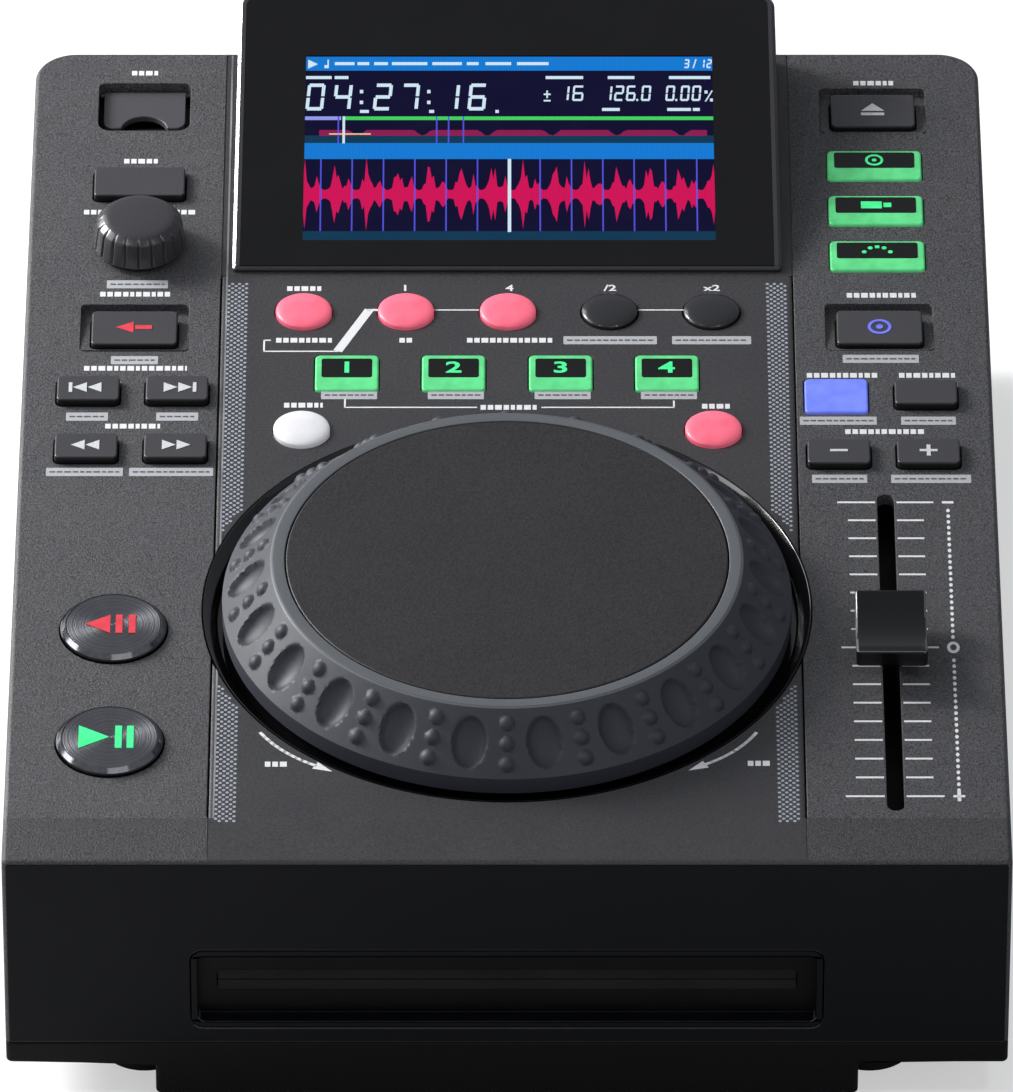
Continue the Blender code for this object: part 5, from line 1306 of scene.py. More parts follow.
def make_ring():
    work = bmesh.new()
    start, end = Vector(RING_SHOULDER_AT), Vector(RING_FOOT_AT)
    run = end - start
    length = run.length
    normal = Vector((-run.y, run.x)).normalized()
    if normal.y < 0:
        normal = -normal
    turns = OVALS * STEPS_PER_OVAL
    step = 2 * math.pi / turns
    columns = []
    for turn in range(turns):
        angle = turn * step
        nearest = (turn % STEPS_PER_OVAL) / STEPS_PER_OVAL
        column = [(BAND_OUT, RING_TOP)]
        for count in range(SLOPE_STEPS + 1):
            share = count / SLOPE_STEPS
            spot = start + run * share
            along = (share - 0.5) * length
            across_oval = (nearest - 0.5) * STEPS_PER_OVAL * step * spot.x
            beside = nearest if nearest < 0.5 else nearest - 1
            across_bump = beside * STEPS_PER_OVAL * step * spot.x
            lift = slope_bump(across_bump, along) - slope_dent(across_oval, along)
            spot = spot + normal * lift
            column.append((spot.x, spot.y))
        column.append((RING_FOOT_AT[0] + MM / 20, RING_FOOT_AT[1] - MM / 2))
        column += [(RING_FOOT_AT[0], RING_SKIRT), (RING_INNER, RING_SKIRT)]
        column += [(BAND_IN, RING_SHOULDER_AT[1] / 2), (BAND_IN, RING_TOP - MM / 2)]
        column.append((BAND_OUT - MM / 4, RING_TOP - MM / 2))
        side, front = math.sin(angle), -math.cos(angle)
        points = [(radius * side, radius * front, level) for radius, level in column]
        columns.append([work.verts.new(point) for point in points])
    rows = len(columns[0])
    for turn in range(turns):
        left, right = columns[turn], columns[(turn + 1) % turns]
        for row in range(rows):
            after = (row + 1) % rows
            work.faces.new((left[row], left[after], right[after], right[row]))
    ring = built("ring", work, JOG)
    dress(ring, "finger_ring", RUBBER, "jog_wheel", ["jog_ring"])
    top = RING_TOP
    profile = rounded(
        [
            (BAND_IN, top - MM / 2),
            (BAND_IN, top),
            (BAND_OUT, top),
            (RING_SHOULDER_AT[0] + MM / 10, RING_SHOULDER_AT[1] + MM / 20),
            (BAND_OUT, top - MM / 2),
        ],
        MM / 4,
    )
    turned("ring_band", profile, JOG, 2 * TURN_STEPS, BAND_RUBBER, "jog_wheel")


def make_platter():
    side, top, low = PLATTER_RADIUS, RING_TOP, PLATTER_LOW
    profile = [(0, top), (side, top), (side, low), (0, low)]
    platter = turned("platter", rounded(profile, mm(0.4)), JOG, 2 * TURN_STEPS)
    dress(platter, "platter_top", PLATTER, "jog_wheel", ["jog_platter"])


def make_dish():
    profile = [(WELL_RADIUS, 0), *DISH_CHAMFER, (DISH_CHAMFER[-1][0], DISH_FLOOR)]
    profile += [(DISH_HOLE, DISH_FLOOR), (DISH_HOLE, DISH_UNDER), (DISH_COLLAR, DISH_UNDER)]
    profile += [(DISH_COLLAR, DISH_COLLAR_TOP), (WELL_RADIUS, DISH_COLLAR_TOP)]
    dish = turned("dish", profile, JOG, 2 * TURN_STEPS)
    dress(dish, "wheel_well", WELL_GLOSS, BODY, ["jog_dish"])


make_dish()
make_ring()
make_platter()


# Push buttons

KEY_EDGE = mm(0.45)
KEY_ROOT = mm(-4)
STEM_HALF = mm(2)
STEM_LOW = mm(-8.3)
INSET_LIFT = mm(0.04)
SIGN_LIFT = mm(0.1)
SIGN_THICK = mm(0.06)
# The top of a button faces up more than this; the other faces get painted shade
FACES_UP = 0.8


def rider(node):
    """The body that a CAD node rides on."""
    return NODES[node]["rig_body"]


def key_look(node):
    if node.startswith(("source", "hot_cue")):
        return GREEN
    return BLUE if node == "key_lock_button" else KEY_BLACK


def make_key(node):
    across, back, width, length, height = CAPS[node]
    spot = on_panel(across, back)
    key = plate([rectangle(width, length, KEY_CORNER)], KEY_ROOT, height, spot)
    soften(key, KEY_EDGE, 3)
    square = rectangle(2 * STEM_HALF, 2 * STEM_HALF)
    combine(key, "UNION", [plate([square], STEM_LOW, KEY_ROOT / 2, spot)])
    look = key_look(node)
    dress(key, node.replace("_button", "_cap"), look, rider(node), [node])
    if look is KEY_BLACK:
        # Painted shade on the cap's sides
        repaint(key, [KEY_WALL_SHADE], lambda face: int(face.normal.z < FACES_UP))


def sign(node, title, loops, material, lift=SIGN_LIFT, shift=0):
    """A thin shape on top of a button, in the button's own frame."""
    across, back, _, _, height = CAPS[node]
    spot = on_panel(across, back + shift, height)
    name = node.replace("_button", "_" + title)
    made = plate(loops, lift - SIGN_THICK, lift, spot)
    return dress(made, name, material, rider(node))


def inset(node, width, length, back):
    shape = rectangle(width, length, KEY_CORNER / 2)
    sign(node, "inset", [shape], INSET_BLACK, INSET_LIFT, back)


FIGURE_WEIGHT = 0.02


def text_on(name, text, size, spot, material, body, stretch):
    """Plain figures as flat mesh."""
    curve = bpy.data.curves.new(name, "FONT")
    curve.body = text
    curve.size = size
    curve.align_x = "CENTER"
    curve.align_y = "CENTER"
    curve.extrude = SIGN_THICK / 2
    curve.offset = size * FIGURE_WEIGHT
    shape = surface_of(curve)
    shape.transform(Matrix.Diagonal((stretch, 1, 1, 1)))
    place(name, shape, spot, material, body)


def arrow(left, right, half, back=0):
    """A triangle that points towards right."""
    return [(left, back - half), (right, back), (left, back + half)]


def bar(left, right, half, back=0):
    return [(left, back - half), (right, back - half), (right, back + half), (left, back + half)]


for node in FLAT_BUTTONS:
    make_key(node)

CUE_INSET = mm(11.5, 6.9)
CUE_INSET_BACK = mm(1.65)
DIGIT_SIZE = mm(5.6)
DIGIT_STRETCH = 1.35
for count in range(1, 5):
    node = f"hot_cue_{count}_button"
    inset(node, *CUE_INSET, CUE_INSET_BACK)
    across, back, _, _, height = CAPS[node]
    spot = on_panel(across, back + CUE_INSET_BACK, height + SIGN_LIFT - SIGN_THICK / 2)
    figure = (f"hot_cue_{count}_digit", str(count), DIGIT_SIZE, spot)
    text_on(*figure, GREEN_SIGN, rider(node), DIGIT_STRETCH)

SOURCE_INSET = mm(18.6, 5.9)
SOURCE_INSET_BACK = mm(1.8)
# Signs, with their points in millimetres
LINK_DOT = 0.55
LINK_DOTS = ((-3.0, -0.6), (-1.6, 0.9), (1.6, 0.9), (3.0, -0.6))
LINK_SIGN = [circle(LINK_DOT, *point) for point in LINK_DOTS]
SOURCE_SIGNS = {
    "source_disc_button": [circle(2.1), circle(1.5), circle(0.55)],
    "source_stick_button": [bar(-3.4, 1.4, 1.3), bar(1.8, 3.6, 0.8)],
    "source_link_button": [*LINK_SIGN, bar(-0.5, 0.5, 0.5, 1.3)],
}
TALL = 1.75
BACKWARD = [arrow(-0.3, -3.4, TALL), arrow(3.0, -0.1, TALL)]
FORWARD = [arrow(0.3, 3.4, TALL), arrow(-3.0, 0.1, TALL)]
PLUS_END, PLUS_ARM, PLUS_POST = 2, 0.4, 0.45
PLUS_CORNER = [(-PLUS_END, -PLUS_ARM), (-PLUS_POST, -PLUS_ARM), (-PLUS_POST, -PLUS_END)]
PLUS_HALF = [*PLUS_CORNER, *((-x, y) for x, y in reversed(PLUS_CORNER))]
PLUS = [*PLUS_HALF, *((x, -y) for x, y in reversed(PLUS_HALF))]
EJECT_TOP = [(-2.7, -0.3), (2.7, -0.3), (0, 2.6)]
# The material and shapes of each button's sign
SIGNS = {
    "track_back_button": (SYMBOL_WHITE, [bar(-4.4, -3.6, TALL), *BACKWARD]),
    "track_next_button": (SYMBOL_WHITE, [bar(3.6, 4.4, TALL), *FORWARD]),
    "search_back_button": (SYMBOL_WHITE, BACKWARD),
    "search_next_button": (SYMBOL_WHITE, FORWARD),
    "pitch_down_button": (SYMBOL_WHITE, [bar(-PLUS_END, PLUS_END, PLUS_ARM)]),
    "pitch_up_button": (SYMBOL_WHITE, [PLUS]),
    "eject_button": (SYMBOL_WHITE, [EJECT_TOP, bar(-2.7, 2.7, 0.5, -1.5)]),
    "reverse_button": (RED_SIGN, [arrow(-0.2, -4.2, 2), bar(0.2, 4, 0.7)]),
    "jog_mode_button": (BLUE_SIGN, [circle(2.7), circle(2.0), circle(0.8)]),
    "cue_button": (RED_SIGN, [arrow(-0.7, -6.2, 3.2), bar(0.5, 2.0, 3.2), bar(3.4, 4.9, 3.2)]),
    "play_button": (GREEN_SIGN, [arrow(-6.8, -0.1, 3.9), bar(1.2, 2.7, 3.8), bar(3.8, 5.3, 3.8)]),
}


def in_metres(loops):
    return [[mm(*point) for point in loop] for loop in loops]


for node, loops in SOURCE_SIGNS.items():
    inset(node, *SOURCE_INSET, SOURCE_INSET_BACK)
    sign(node, "sign", in_metres(loops), GREEN_SIGN, SIGN_LIFT, SOURCE_INSET_BACK)
for node, (look, loops) in SIGNS.items():
    if node not in DISCS:
        sign(node, "sign", in_metres(loops), look)

DOME_SIDE = mm(0.4)
DOME_ARC_STEPS = 10
DOME_LOOKS = {"shift_button": WHITE, "loop_halve_button": DOME_BLACK, "loop_double_button": DOME_BLACK}
STEM = [(STEM_HALF, KEY_ROOT), (STEM_HALF, STEM_LOW), (0, STEM_LOW)]


def make_dome(node):
    across, back, width, _, height = CAPS[node]
    radius = width / 2
    profile = []
    for step in range(DOME_ARC_STEPS + 1):
        rise = QUARTER * (1 - step / DOME_ARC_STEPS)
        level = DOME_SIDE + (height - DOME_SIDE) * math.sin(rise)
        profile.append((radius * math.cos(rise) if step else 0, level))
    profile += [(radius, KEY_ROOT), *STEM]
    dome = turned("dome", profile, on_panel(across, back), SMALL_STEPS)
    look = DOME_LOOKS.get(node, PINK)
    dress(dome, node.replace("_button", "_dome"), look, rider(node), [node])


for node in DOMES:
    make_dome(node)

# Cue and play: a spun metal face, a polished slope and a black foot

FACE_INSET = mm(1.35)
SLOPE_INSET = mm(0.3)
# A disc's height over the level of the slope's foot, of the foot's top and of its rim
SLOPE_FOOT, BASE_TOP, BASE_RIM = 2.6, 2.8, 3.2
# A button's depth over the level below the slope
BASE_UNDER = 1.8


def make_disc(node):
    across, back, width, _, height = CAPS[node]
    radius, spot = width / 2, on_panel(across, back)
    face, foot = radius - FACE_INSET, radius - SLOPE_INSET

    def part(title, profile, material, replaced=()):
        made = turned(title, profile, spot, TURN_STEPS)
        dress(made, node.replace("_button", title), material, rider(node), replaced)

    profile = [(0, height - MM / 20), (face - MM / 10, height - MM / 20)]
    profile += [(face, height - MM / 5), (face, KEY_ROOT / 4), (0, KEY_ROOT / 4)]
    part("_face", profile, SPUN)
    profile = [(face + MM / 20, height), (face + MM / 4, height), (foot, height / SLOPE_FOOT)]
    profile += [(foot, KEY_ROOT / 2), (face + MM / 20, KEY_ROOT / 2)]
    part("_edge", profile, POLISHED)
    profile = [(foot + MM / 20, height / BASE_TOP), (radius, height / BASE_RIM), (radius, KEY_ROOT)]
    profile += [*STEM, (0, KEY_ROOT / 3), (face - MM, KEY_ROOT / 3)]
    part("_foot", [*profile, (foot + MM / 20, KEY_ROOT / BASE_UNDER)], GLOSS_BLACK, [node])
    look, loops = SIGNS[node]
    sign(node, "sign", in_metres(loops), look)


for node in DISCS:
    make_disc(node)


# Browse knob, with thin grooves round it

KNOB_LOW, KNOB_HIGH = panel_box("browse_knob")
KNOB_RIM = (KNOB_HIGH.x - KNOB_LOW.x) / 2
KNOB_TOP = KNOB_HIGH.z
KNOB_UNDER = KNOB_LOW.z
KNOB_GROOVES = 20
KNOB_GROOVE_STEPS = 14
KNOB_GROOVE_DEPTH = mm(0.45)
GROOVE_SHARPNESS = 10
KNOB_BORE = mm(3.3, 6)
# Radius, level below the top, share of the groove's depth
KNOB_DOME = (
    (mm(1), 0, 0),
    (mm(4), mm(0.06), 0),
    (mm(6.6), mm(0.2), 0),
    (mm(7.9), mm(0.42), 0),
    (mm(8.3), mm(0.62), 0.2),
    (mm(9.5), mm(1.7), 0.7),
    (mm(9.85), mm(2.1), 1),
)


def grooved(name, rows, spot):
    """A turned shape with grooves: a row holds radius, level and its share of the depth."""
    work = bmesh.new()
    turns = KNOB_GROOVES * KNOB_GROOVE_STEPS
    rings = []
    for radius, level, share in rows:
        ring = []
        for turn in range(turns):
            wave = max(0, math.cos(2 * math.pi * turn / KNOB_GROOVE_STEPS))
            reach = radius - KNOB_GROOVE_DEPTH * share * wave**GROOVE_SHARPNESS
            angle = 2 * math.pi * turn / turns
            point = (reach * math.cos(angle), reach * math.sin(angle), level)
            ring.append(work.verts.new(point))
        rings.append(ring)
    for upper, lower in zip(rings, rings[1:]):
        for turn in range(turns):
            after = (turn + 1) % turns
            work.faces.new((upper[turn], upper[after], lower[after], lower[turn]))
    work.faces.new(rings[0])
    work.faces.new(list(reversed(rings[-1])))
    return built(name, work, spot)


def make_knob():
    rows = [(radius, KNOB_TOP - below, share) for radius, below, share in KNOB_DOME]
    rows += [(KNOB_RIM - MM / 10, KNOB_UNDER + MM, 1), (KNOB_RIM, KNOB_UNDER + MM / 3, 0.4)]
    rows += [(KNOB_RIM - MM / 4, KNOB_UNDER, 0), (KNOB_BORE[0], KNOB_UNDER, 0)]
    rows.append((KNOB_BORE[0], KNOB_UNDER + KNOB_BORE[1], 0))
    knob = grooved("knob", rows, on_panel(*KNOB_PLACE))
    dress(knob, "knob_grip", KNOB_BLACK, "browse_grip", ["browse_knob"])


make_knob()

# Pitch fader's cap, with a thumb hollow across its top

FADER_LOW, FADER_HIGH = panel_box("fader_cap")
CAP_HALF = ((FADER_HIGH.x - FADER_LOW.x) / 2, (FADER_HIGH.y - FADER_LOW.y) / 2)
CAP_LOW = mm(4.2)
CAP_TOP = FADER_HIGH.z
CAP_DRAFT = mm(0.25)
HOLLOW_RADIUS = mm(26)
HOLLOW_DEPTH = mm(2.4)
HOLLOW_STEPS = 28
CAP_EDGE = mm(0.8)
CAP_SHARP = 35
# The cap's rounded edges face up between these, and get the painted highlight
RIM_FACES = (0.25, 0.82)
FADER_STEM = mm(2.6, 8)


def make_fader_cap():
    half, length = CAP_HALF
    level = CAP_TOP - HOLLOW_DEPTH + HOLLOW_RADIUS
    reach = math.asin((length - CAP_DRAFT - MM / 10) / HOLLOW_RADIUS)
    side = [(-length, CAP_LOW), (length, CAP_LOW), (length - CAP_DRAFT, CAP_TOP - MM)]
    for step in range(HOLLOW_STEPS + 1):
        angle = reach * (1 - 2 * step / HOLLOW_STEPS)
        rise = min(level - HOLLOW_RADIUS * math.cos(angle), CAP_TOP)
        side.append((HOLLOW_RADIUS * math.sin(angle), rise))
    side.append((CAP_DRAFT - length, CAP_TOP - MM))
    spot = on_panel(*FADER_PLACE)
    cap = plate([side], -half, half, spot @ about("Z", QUARTER) @ about("X", QUARTER))
    soften(cap, CAP_EDGE, 4, CAP_SHARP)
    stem = plate([rectangle(*FADER_STEM)], FADER_LOW.z, CAP_LOW + MM, spot)
    combine(cap, "UNION", [stem])
    dress(cap, "fader_grip", CAP_BLACK, "pitch_fader", ["fader_cap"])
    turn = cap.matrix_world.to_3x3()
    low, high = RIM_FACES
    # Painted highlight on the cap's rounded edges
    repaint(cap, [CAP_RIM_HIGHLIGHT], lambda face: int(low < (turn @ face.normal).z < high))


make_fader_cap()

# Door over the memory stick socket, with a half-moon for a fingernail

DOOR_LOW, DOOR_HIGH = panel_box("usb_door")
DOOR_TOP = mm(-2)
DOOR_THICK = mm(1.6)
DOOR_HALF = mm(9.5)
BARREL = mm(0.8)
PIN = mm(0.5)
DOOR_CORNERS = mm(2.6, 2.6, 1, 1)
NOTCH_RADIUS = mm(5.4)
NOTCH_DEPTH = mm(4.6)


def make_stick_door():
    across = STICK_PLACE[0]
    hinge = DOOR_HIGH.y - BARREL
    sides = (across - DOOR_HALF, across + DOOR_HALF)
    spread = outline(*sides, DOOR_LOW.y, hinge, DOOR_CORNERS)
    door = plate([spread], DOOR_TOP - DOOR_THICK, DOOR_TOP, PANEL)
    front = DOOR_LOW.y + NOTCH_DEPTH - NOTCH_RADIUS
    notch = plate([circle(NOTCH_RADIUS, across, front)], 2 * DOOR_LOW.z, OVERRUN, PANEL)
    cut(door, notch)
    soften(door, MM / 4, 3)
    pins = DOOR_HIGH.x - across
    profile = [(0, -pins), (PIN, -pins), (PIN, -DOOR_HALF), (BARREL, -DOOR_HALF)]
    profile += [(BARREL, DOOR_HALF), (PIN, DOOR_HALF), (PIN, pins), (0, pins)]
    spot = on_panel(across, hinge, DOOR_TOP - BARREL) @ about("Y", QUARTER)
    combine(door, "UNION", [turned("barrel", profile, spot, SMALL_STEPS)])
    dress(door, "stick_flap", DOOR_GREY, "stick_door", ["usb_door"])


make_stick_door()


# Prints on the panel: dotted strips, lines, label boxes and rows of dashes

DOT_RADIUS = mm(0.4)
DOT_SIDES = 8
DOT_PITCH = mm(0.8, 0.815)
DOT_COLUMNS = 6
STRIP_FROM = mm(14)
STRIP_TO = mm(207.6)
STRIP_SIDE = mm(59.6)
STRIP_CLEAR = mm(1.4)


def print_flat(name, loops, material):
    """Ink on the panel, as flat faces just above it."""
    work = bmesh.new()
    for loop in loops:
        work.faces.new([work.verts.new((x, y, PRINT_LIFT)) for x, y in loop])
    made = built(name, work, PANEL)
    for polygon in made.data.polygons:
        if polygon.normal.z < 0:
            polygon.flip()
    made.data.materials.append(material)
    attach(made, BODY)
    return made


def stroke(start, end, width):
    """A straight line as a rectangle."""
    start, end = Vector(start), Vector(end)
    along = (end - start).normalized()
    beside = Vector((-along.y, along.x)) * width / 2
    reach = along * width / 2
    corners = (start - reach + beside, start - reach - beside, end + reach - beside)
    return [tuple(corner) for corner in (*corners, end + reach + beside)]


def make_strips():
    loops = []
    rows = int((STRIP_TO - STRIP_FROM) / DOT_PITCH[1])
    for side in (-1, 1):
        for row in range(rows):
            for column in range(row % 2, DOT_COLUMNS, 2):
                across = side * (STRIP_SIDE + column * DOT_PITCH[0])
                back = STRIP_FROM + row * DOT_PITCH[1]
                if math.hypot(across, back - JOG_MIDDLE) > WELL_RADIUS + STRIP_CLEAR:
                    loops.append(circle(DOT_RADIUS, across, back, DOT_SIDES))
    print_flat("dotted_strips", loops, MESH_GREY)


DASH_HEIGHT = mm(1.75)
DASH_GAP = mm(0.4)
DASH_UNIT = mm(0.31)
DASH_SHARES = (4, 4, 5, 4, 3, 4, 5, 3)


def dashes(across, back, width, height=DASH_HEIGHT):
    """A row of short dashes in place of a word."""
    loops = []
    left, right = across - width / 2, across + width / 2
    count = 0
    while left < right - DASH_UNIT:
        end = min(left + DASH_UNIT * DASH_SHARES[count % len(DASH_SHARES)], right)
        loops.append(bar(left, end, height / 2, back))
        left = end + DASH_GAP
        count += 1
    return loops


# Middle across, middle back and width of each word's place
WORD_PLACES = (
    (-84.5, 287.1, 6.1), (-84.5, 253.0, 8.3), (-95.0, 233.5, 5.0), (-74.2, 233.5, 5.0),
    (-84.7, 202.5, 16.7), (-84.4, 174.9, 23.4), (-84.6, 153.6, 12.4), (85.4, 283.2, 9.3),
    (85.6, 202.1, 15.8), (76.3, 172.3, 16.5), (95.6, 172.3, 13.2), (85.3, 151.6, 17.8),
    (-46.3, 204.6, 8.0), (-46.1, 185.3, 13.0), (-22.8, 185.3, 3.4), (0.6, 185.3, 19.4),
    (0.5, 160.5, 13.0), (-46.1, 161.3, 8.8), (47.3, 160.9, 6.3), (-50.4, 33.5, 5.4),
    (55.5, 33.8, 5.4),
)
# Middle across, middle back and width of each grey box
BOX_PLACES = (
    (-84.6, 206.2, 14.0), (-84.7, 177.9, 10.7), (-95.0, 157.1, 9.5), (-74.6, 157.1, 9.5),
    (-95.1, 136.9, 17.3), (-75.6, 136.9, 18.9), (85.0, 178.4, 17.3), (74.9, 155.6, 17.4),
    (95.3, 155.6, 12.4), (74.8, 134.4, 12.4), (95.4, 134.4, 18.0), (23.5, 185.3, 21.3),
    (46.6, 185.3, 18.0), (-35.8, 165.0, 12.7), (-11.6, 165.0, 12.7), (12.6, 165.0, 12.7),
    (36.7, 165.0, 12.7),
)
BOX_HEIGHT = mm(3.0)
BOX_DASH = mm(0.5)
BOX_MARGIN = mm(1.6)
FIGURE_SIZE = mm(3.1)
FIGURE_STRETCH = 1.2
FIGURES = {"1": (-23.3, 204.7), "4": (0.6, 204.7), "/2": (23.6, 204.7), "x2": (46.9, 204.7)}


def make_labels():
    words = [loop for place_at in WORD_PLACES for loop in dashes(*mm(*place_at))]
    print_flat("word_dashes", words, PRINT_WHITE)
    boxes, rows = [], []
    for spot in BOX_PLACES:
        across, back, width = mm(*spot)
        boxes.append(rectangle(width, BOX_HEIGHT, MM / 4, across, back))
        rows.extend(dashes(across, back, width - BOX_MARGIN, BOX_DASH))
    print_flat("label_boxes", boxes, PRINT_GREY)
    raised = print_flat("box_dashes", rows, DASH_GREY)
    for vertex in raised.data.vertices:
        vertex.co.z += PRINT_LIFT
    for text, spot in FIGURES.items():
        figure = ("figure_" + text.replace("/", "half_"), text, FIGURE_SIZE)
        text_on(*figure, on_panel(*mm(*spot), PRINT_LIFT), PRINT_WHITE, BODY, FIGURE_STRETCH)


# Width and points of each line between controls
GUIDES = (
    (0.42, (-36.7, 163.3), (-36.7, 160.5), (-7.0, 160.5)),
    (0.42, (8.0, 160.5), (37.8, 160.5), (37.8, 162.8)),
    (0.42, (-54.0, 185.3), (-55.3, 185.3), (-55.3, 181.2), (-38.5, 181.2)),
    (2.1, (-38.1, 182.2), (-31.9, 195.7)),
    (0.7, (-31.5, 196.6), (-29.5, 196.6)),
    (0.42, (-16.6, 196.6), (-6.6, 196.6)),
    (0.42, (30.2, 196.6), (40.4, 196.6)),
)


def make_lines():
    lines = []
    for width, *points in GUIDES:
        spots = [mm(*point) for point in points]
        lines += [stroke(start, end, mm(width)) for start, end in zip(spots, spots[1:])]
    print_flat("guide_lines", lines, PRINT_WHITE)


# Arrows round the front of the wheel, from a tail to a head
ARROWS = (((-54.1, 44.2), (-42.1, 33.1)), ((54.7, 44.2), (43.6, 33.5)))
ARROW_STEPS = 10
ARROW_BOW = mm(1.1)
ARROW_HEAD = mm(4.4, 1.3)
ARROW_WIDTH = mm(0.8)


def make_arrows():
    loops = []
    for tail, head in ARROWS:
        start, end = Vector(mm(*tail)), Vector(mm(*head))
        run = end - start
        beside = Vector((-run.y, run.x)).normalized()
        if beside.y > 0:
            beside = -beside
        spots = []
        for step in range(ARROW_STEPS + 1):
            share = step / ARROW_STEPS
            bow = ARROW_BOW * 4 * share * (1 - share)
            spots.append(start + run * share + beside * bow)
        loops += [stroke(a, b, ARROW_WIDTH) for a, b in zip(spots, spots[1:])]
        along = (spots[-1] - spots[-2]).normalized()
        wide = Vector((-along.y, along.x)) * ARROW_HEAD[1]
        tip = spots[-1] + along * ARROW_HEAD[0]
        loops.append([tuple(spots[-1] + wide), tuple(spots[-1] - wide), tuple(tip)])
    print_flat("turn_arrows", loops, PRINT_WHITE)


def oval(half, length, across, back, steps=SMALL_STEPS):
    return [(across + x * half, back + y * length) for x, y in circle(1, steps=steps)]


SCALE_LINES = 17
SCALE_LOW, SCALE_HIGH = mm(22.5, 125.9)
SCALE_EDGES = {True: ((-10.9, -2.4), (2.4, 10.7)), False: ((-8.6, -2.4), (2.4, 8.4))}
SCALE_WIDTH = mm(0.62)
SCALE_DOT = mm(0.42, 0.68)
DOTS_ACROSS = mm(98.9)
DOTS_PITCH = mm(2.05)
ZERO_RING = (mm(1.4, 2.0), mm(0.7, 1.1))
SIGN_HALF, SIGN_WIDTH = mm(1.3, 0.8)


def make_scale():
    across = FADER_PLACE[0]
    loops = []
    pitch = (SCALE_HIGH - SCALE_LOW) / (SCALE_LINES - 1)
    for count in range(SCALE_LINES):
        back = SCALE_LOW + count * pitch
        long = count % (SCALE_LINES // 2) == 0
        for left, right in SCALE_EDGES[long]:
            loops.append(bar(across + mm(left), across + mm(right), SCALE_WIDTH / 2, back))
    zero = (SCALE_LOW + SCALE_HIGH) / 2
    back = SCALE_LOW + DOTS_PITCH
    while back < SCALE_HIGH - MM:
        if abs(back - zero) > ZERO_RING[0][1] + MM:
            loops.append(oval(*SCALE_DOT, DOTS_ACROSS, back, DOT_SIDES))
        back += DOTS_PITCH
    for back in (SCALE_LOW, SCALE_HIGH):
        loops.append(bar(DOTS_ACROSS - SIGN_HALF, DOTS_ACROSS + SIGN_HALF, SIGN_WIDTH / 2, back))
    ends = [(DOTS_ACROSS, SCALE_LOW + way * SIGN_HALF) for way in (-1, 1)]
    loops.append(stroke(*ends, SIGN_WIDTH))
    print_flat("fader_scale", loops, PRINT_WHITE)
    rings = [oval(*half, DOTS_ACROSS, zero) for half in ZERO_RING]
    ring = plate(rings, 0, PRINT_LIFT, PANEL)
    dress(ring, "zero_ring", PRINT_WHITE, BODY)


make_strips()
make_labels()
make_lines()
make_arrows()
make_scale()


# Base pan, feet, slot lips and the back's sockets

PAN_TOP = mm(17.1)
PAN_SIDE = mm(11.6)
BELLY_HALF = mm(77.2)
BELLY = mm(3)
FEET = [name for name in NODES if name.startswith("foot")]
PAN_EDGE = mm(0.7)
FOOT_ROOM = mm(1.5)
# A foot's ring and hollow, as parts of its radius
FOOT_RING = (0.62, 0.6, 0.3)
SCREW_RADIUS = mm(3.2)
SCREW_RISE = mm(0.7)
SCREW_FLAT = 0.6 * SCREW_RADIUS
CROSS_ARM = mm(1.9, 0.35)


def middle_of(name):
    low, high = panel_box(name, WORLD)
    return (low + high) / 2, (high - low) / 2


def make_pan():
    spot, half = middle_of(FEET[0])
    foot_x, foot_y, room = abs(spot.x), abs(spot.y), half.x + FOOT_ROOM
    pan = plate([body_outline(0)], PAN_SIDE, PAN_TOP)
    length = REAR_CORNER + foot_y - FRONT_Y
    spread = rectangle(2 * BELLY_HALF, length, FRONT_CORNER, 0, FRONT_Y + length / 2)
    combine(pan, "UNION", [plate([spread], BELLY, PAN_SIDE + WALL / 2)])
    cut(pan, plate([body_outline(WALL)], PAN_SIDE + WALL, PAN_TOP + OVERRUN))
    for side, end in ((-1, -1), (-1, 1), (1, -1), (1, 1)):
        pocket = circle(room, side * foot_x, end * foot_y)
        cut(pan, plate([pocket], BELLY - OVERRUN, PAN_SIDE + GAP))
    soften(pan, PAN_EDGE, 3)
    dress(pan, "base_tray", BASE_BLACK, BODY, ["bottom_pan"])


def make_feet():
    for name in FEET:
        spot, half = middle_of(name)
        radius, top = half.x, 2 * half.z
        ring, wall, hollow = (radius * share for share in FOOT_RING)
        profile = rounded([(0, top), (radius - MM, top), (radius, 0), (ring, 0)], MM)
        profile += [(wall, MM), (hollow, MM), (0, MM)]
        made = turned("pad", profile, Matrix.Translation((spot.x, spot.y, 0)), SMALL_STEPS)
        dress(made, name + "_pad", FOOT_RUBBER, BODY, [name])


def make_screw(name, spot):
    """A screw's round head with a cross in it."""
    profile = [(0, SCREW_RISE), (SCREW_FLAT, SCREW_RISE), (SCREW_RADIUS, SCREW_RISE / 3)]
    profile += [(SCREW_RADIUS, 0), (0, 0)]
    head = turned("head", profile, spot, SMALL_STEPS)
    for turn in (0, QUARTER):
        arm = rectangle(2 * CROSS_ARM[0], 2 * CROSS_ARM[1])
        cut(head, plate([arm], SCREW_RISE / 4, OVERRUN, spot @ about("Z", turn)))
    dress(head, name, DARK_STEEL, BODY)


# Places as parts of the half-width and of the rear wall's distance
BELOW_SCREWS = ((-0.55, -0.80), (0.55, -0.80), (-0.55, 0.55), (0.55, 0.55), (0, -0.15))


def make_screws():
    for count, (across, back) in enumerate(BELOW_SCREWS):
        spot = Matrix.Translation((across * HALF_WIDTH, back * REAR_Y, BELLY))
        make_screw(f"base_screw_{count + 1}", spot @ about("X", math.pi))


LIP_THICK = mm(0.9)
LIP_GAP = mm(0.12)


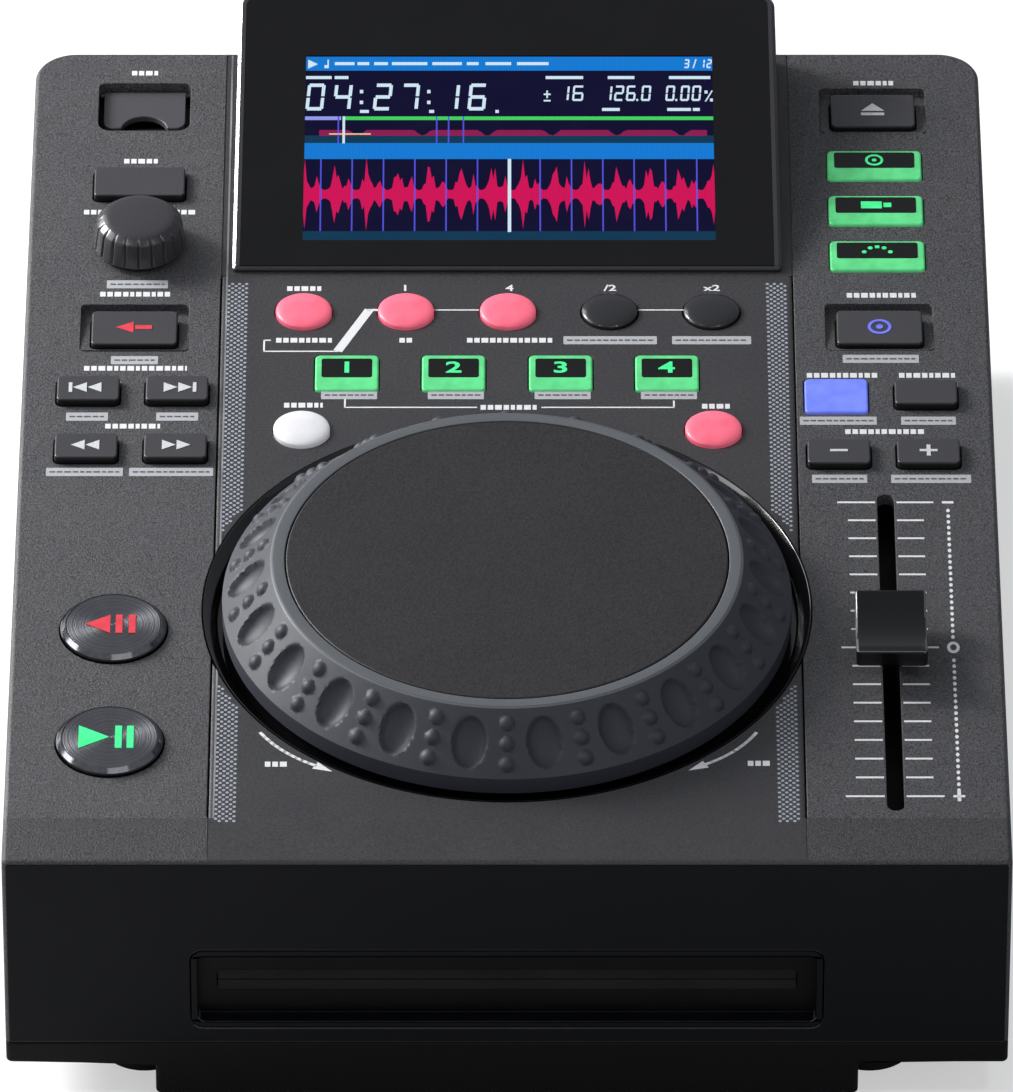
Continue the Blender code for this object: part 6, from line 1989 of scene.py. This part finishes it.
def make_lips():
    """Two strips of felt that close the slit until a disc parts them."""
    width, height = SLIT_SIZE
    for title, side in (("upper", 1), ("lower", -1)):
        middle = SLOT_MIDDLE + side * (height / 4 + LIP_GAP / 2)
        strip = rectangle(width - GAP, height / 2 - LIP_GAP, 0, 0, middle)
        low = -SLOT_RECESS - LIP_THICK
        made = plate([strip], low, -SLOT_RECESS - MM / 10, FRONT)
        soften(made, MM / 5, 3)
        dress(made, f"slot_lip_{title}", FELT, BODY)


KEPT_SHARP = 40


def keep(name, material, edge=0):
    """A CAD node that stays, with a better material and softer edges."""
    node = NODES[name]
    node.material_slots[0].material = material
    if edge:
        bevel = node.modifiers.new("edges", "BEVEL")
        bevel.width = edge
        bevel.segments = 2
        bevel.limit_method = "ANGLE"
        bevel.angle_limit = math.radians(KEPT_SHARP)
        bevel.harden_normals = True


RING_DEEP = mm(3.2)
JACK_RADII = mm(4.35, 6.9)
SLEEVE = mm(4.25, 4.75)
JACK_LOOKS = (("left", JACK_WHITE), ("right", JACK_RED))


def facing_back(across, level, depth=0):
    """A frame on the rear wall that looks out of it."""
    return Matrix.Translation((across, REAR_Y - depth, level)) @ about("X", -QUARTER)


def make_jacks():
    for place_x, (side, look) in zip(PHONO_PLACES, JACK_LOOKS):
        spot = facing_back(place_x, PHONO_LEVEL, WALL)
        inner, outer = JACK_RADII
        profile = rounded([(inner, 0), (outer, 0), (outer, -RING_DEEP), (inner, -RING_DEEP)], MM / 4)
        ring = turned("ring", profile, spot, SMALL_STEPS)
        dress(ring, f"jack_ring_{side}", look, BODY)
        low, high = SLEEVE
        top = WALL - MM / 4
        profile = rounded([(low, top), (high, top), (high, -RING_DEEP), (low, -RING_DEEP)], MM / 8)
        sleeve = turned("sleeve", profile, spot, SMALL_STEPS)
        dress(sleeve, f"jack_sleeve_{side}", STEEL, BODY)


BACK_WORDS = ((-62, 44, 20), (-14, 38.5, 12), (34, 38.5, 11), (72, 46.5, 14))


def make_back_prints():
    spot = facing_back(0, 0) @ about("Z", math.pi)
    work = bmesh.new()
    for across, level, width in BACK_WORDS:
        for loop in dashes(*mm(-across, level, width)):
            work.faces.new([work.verts.new((x, y, -PRINT_LIFT / 2)) for x, y in loop])
    made = built("back_dashes", work, spot)
    made.data.materials.append(PRINT_WHITE)
    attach(made, BODY)


make_pan()
make_feet()
make_screws()
make_lips()
make_jacks()
make_back_prints()
keep("power_switch", GLOSS_BLACK, mm(0.5))
keep("power_inlet", GLOSS_BLACK, mm(0.3))
keep("data_socket", STEEL, mm(0.2))
keep("usb_socket", SLOT_BLACK, mm(0.15))
keep("fader_body", SLOT_BLACK)
keep("drive_roller", RUBBER)
keep("laser_sled", DARK_STEEL)
for node in ("display_screen", "phono_jacks", "disc_spindle"):
    keep(node, BASE_BLACK)
for node in ("jog_shaft", "jog_bearing", "browse_shaft", "drive_chassis"):
    keep(node, STEEL)
for node in ("control_board", "main_board"):
    keep(node, BOARD_GREEN)
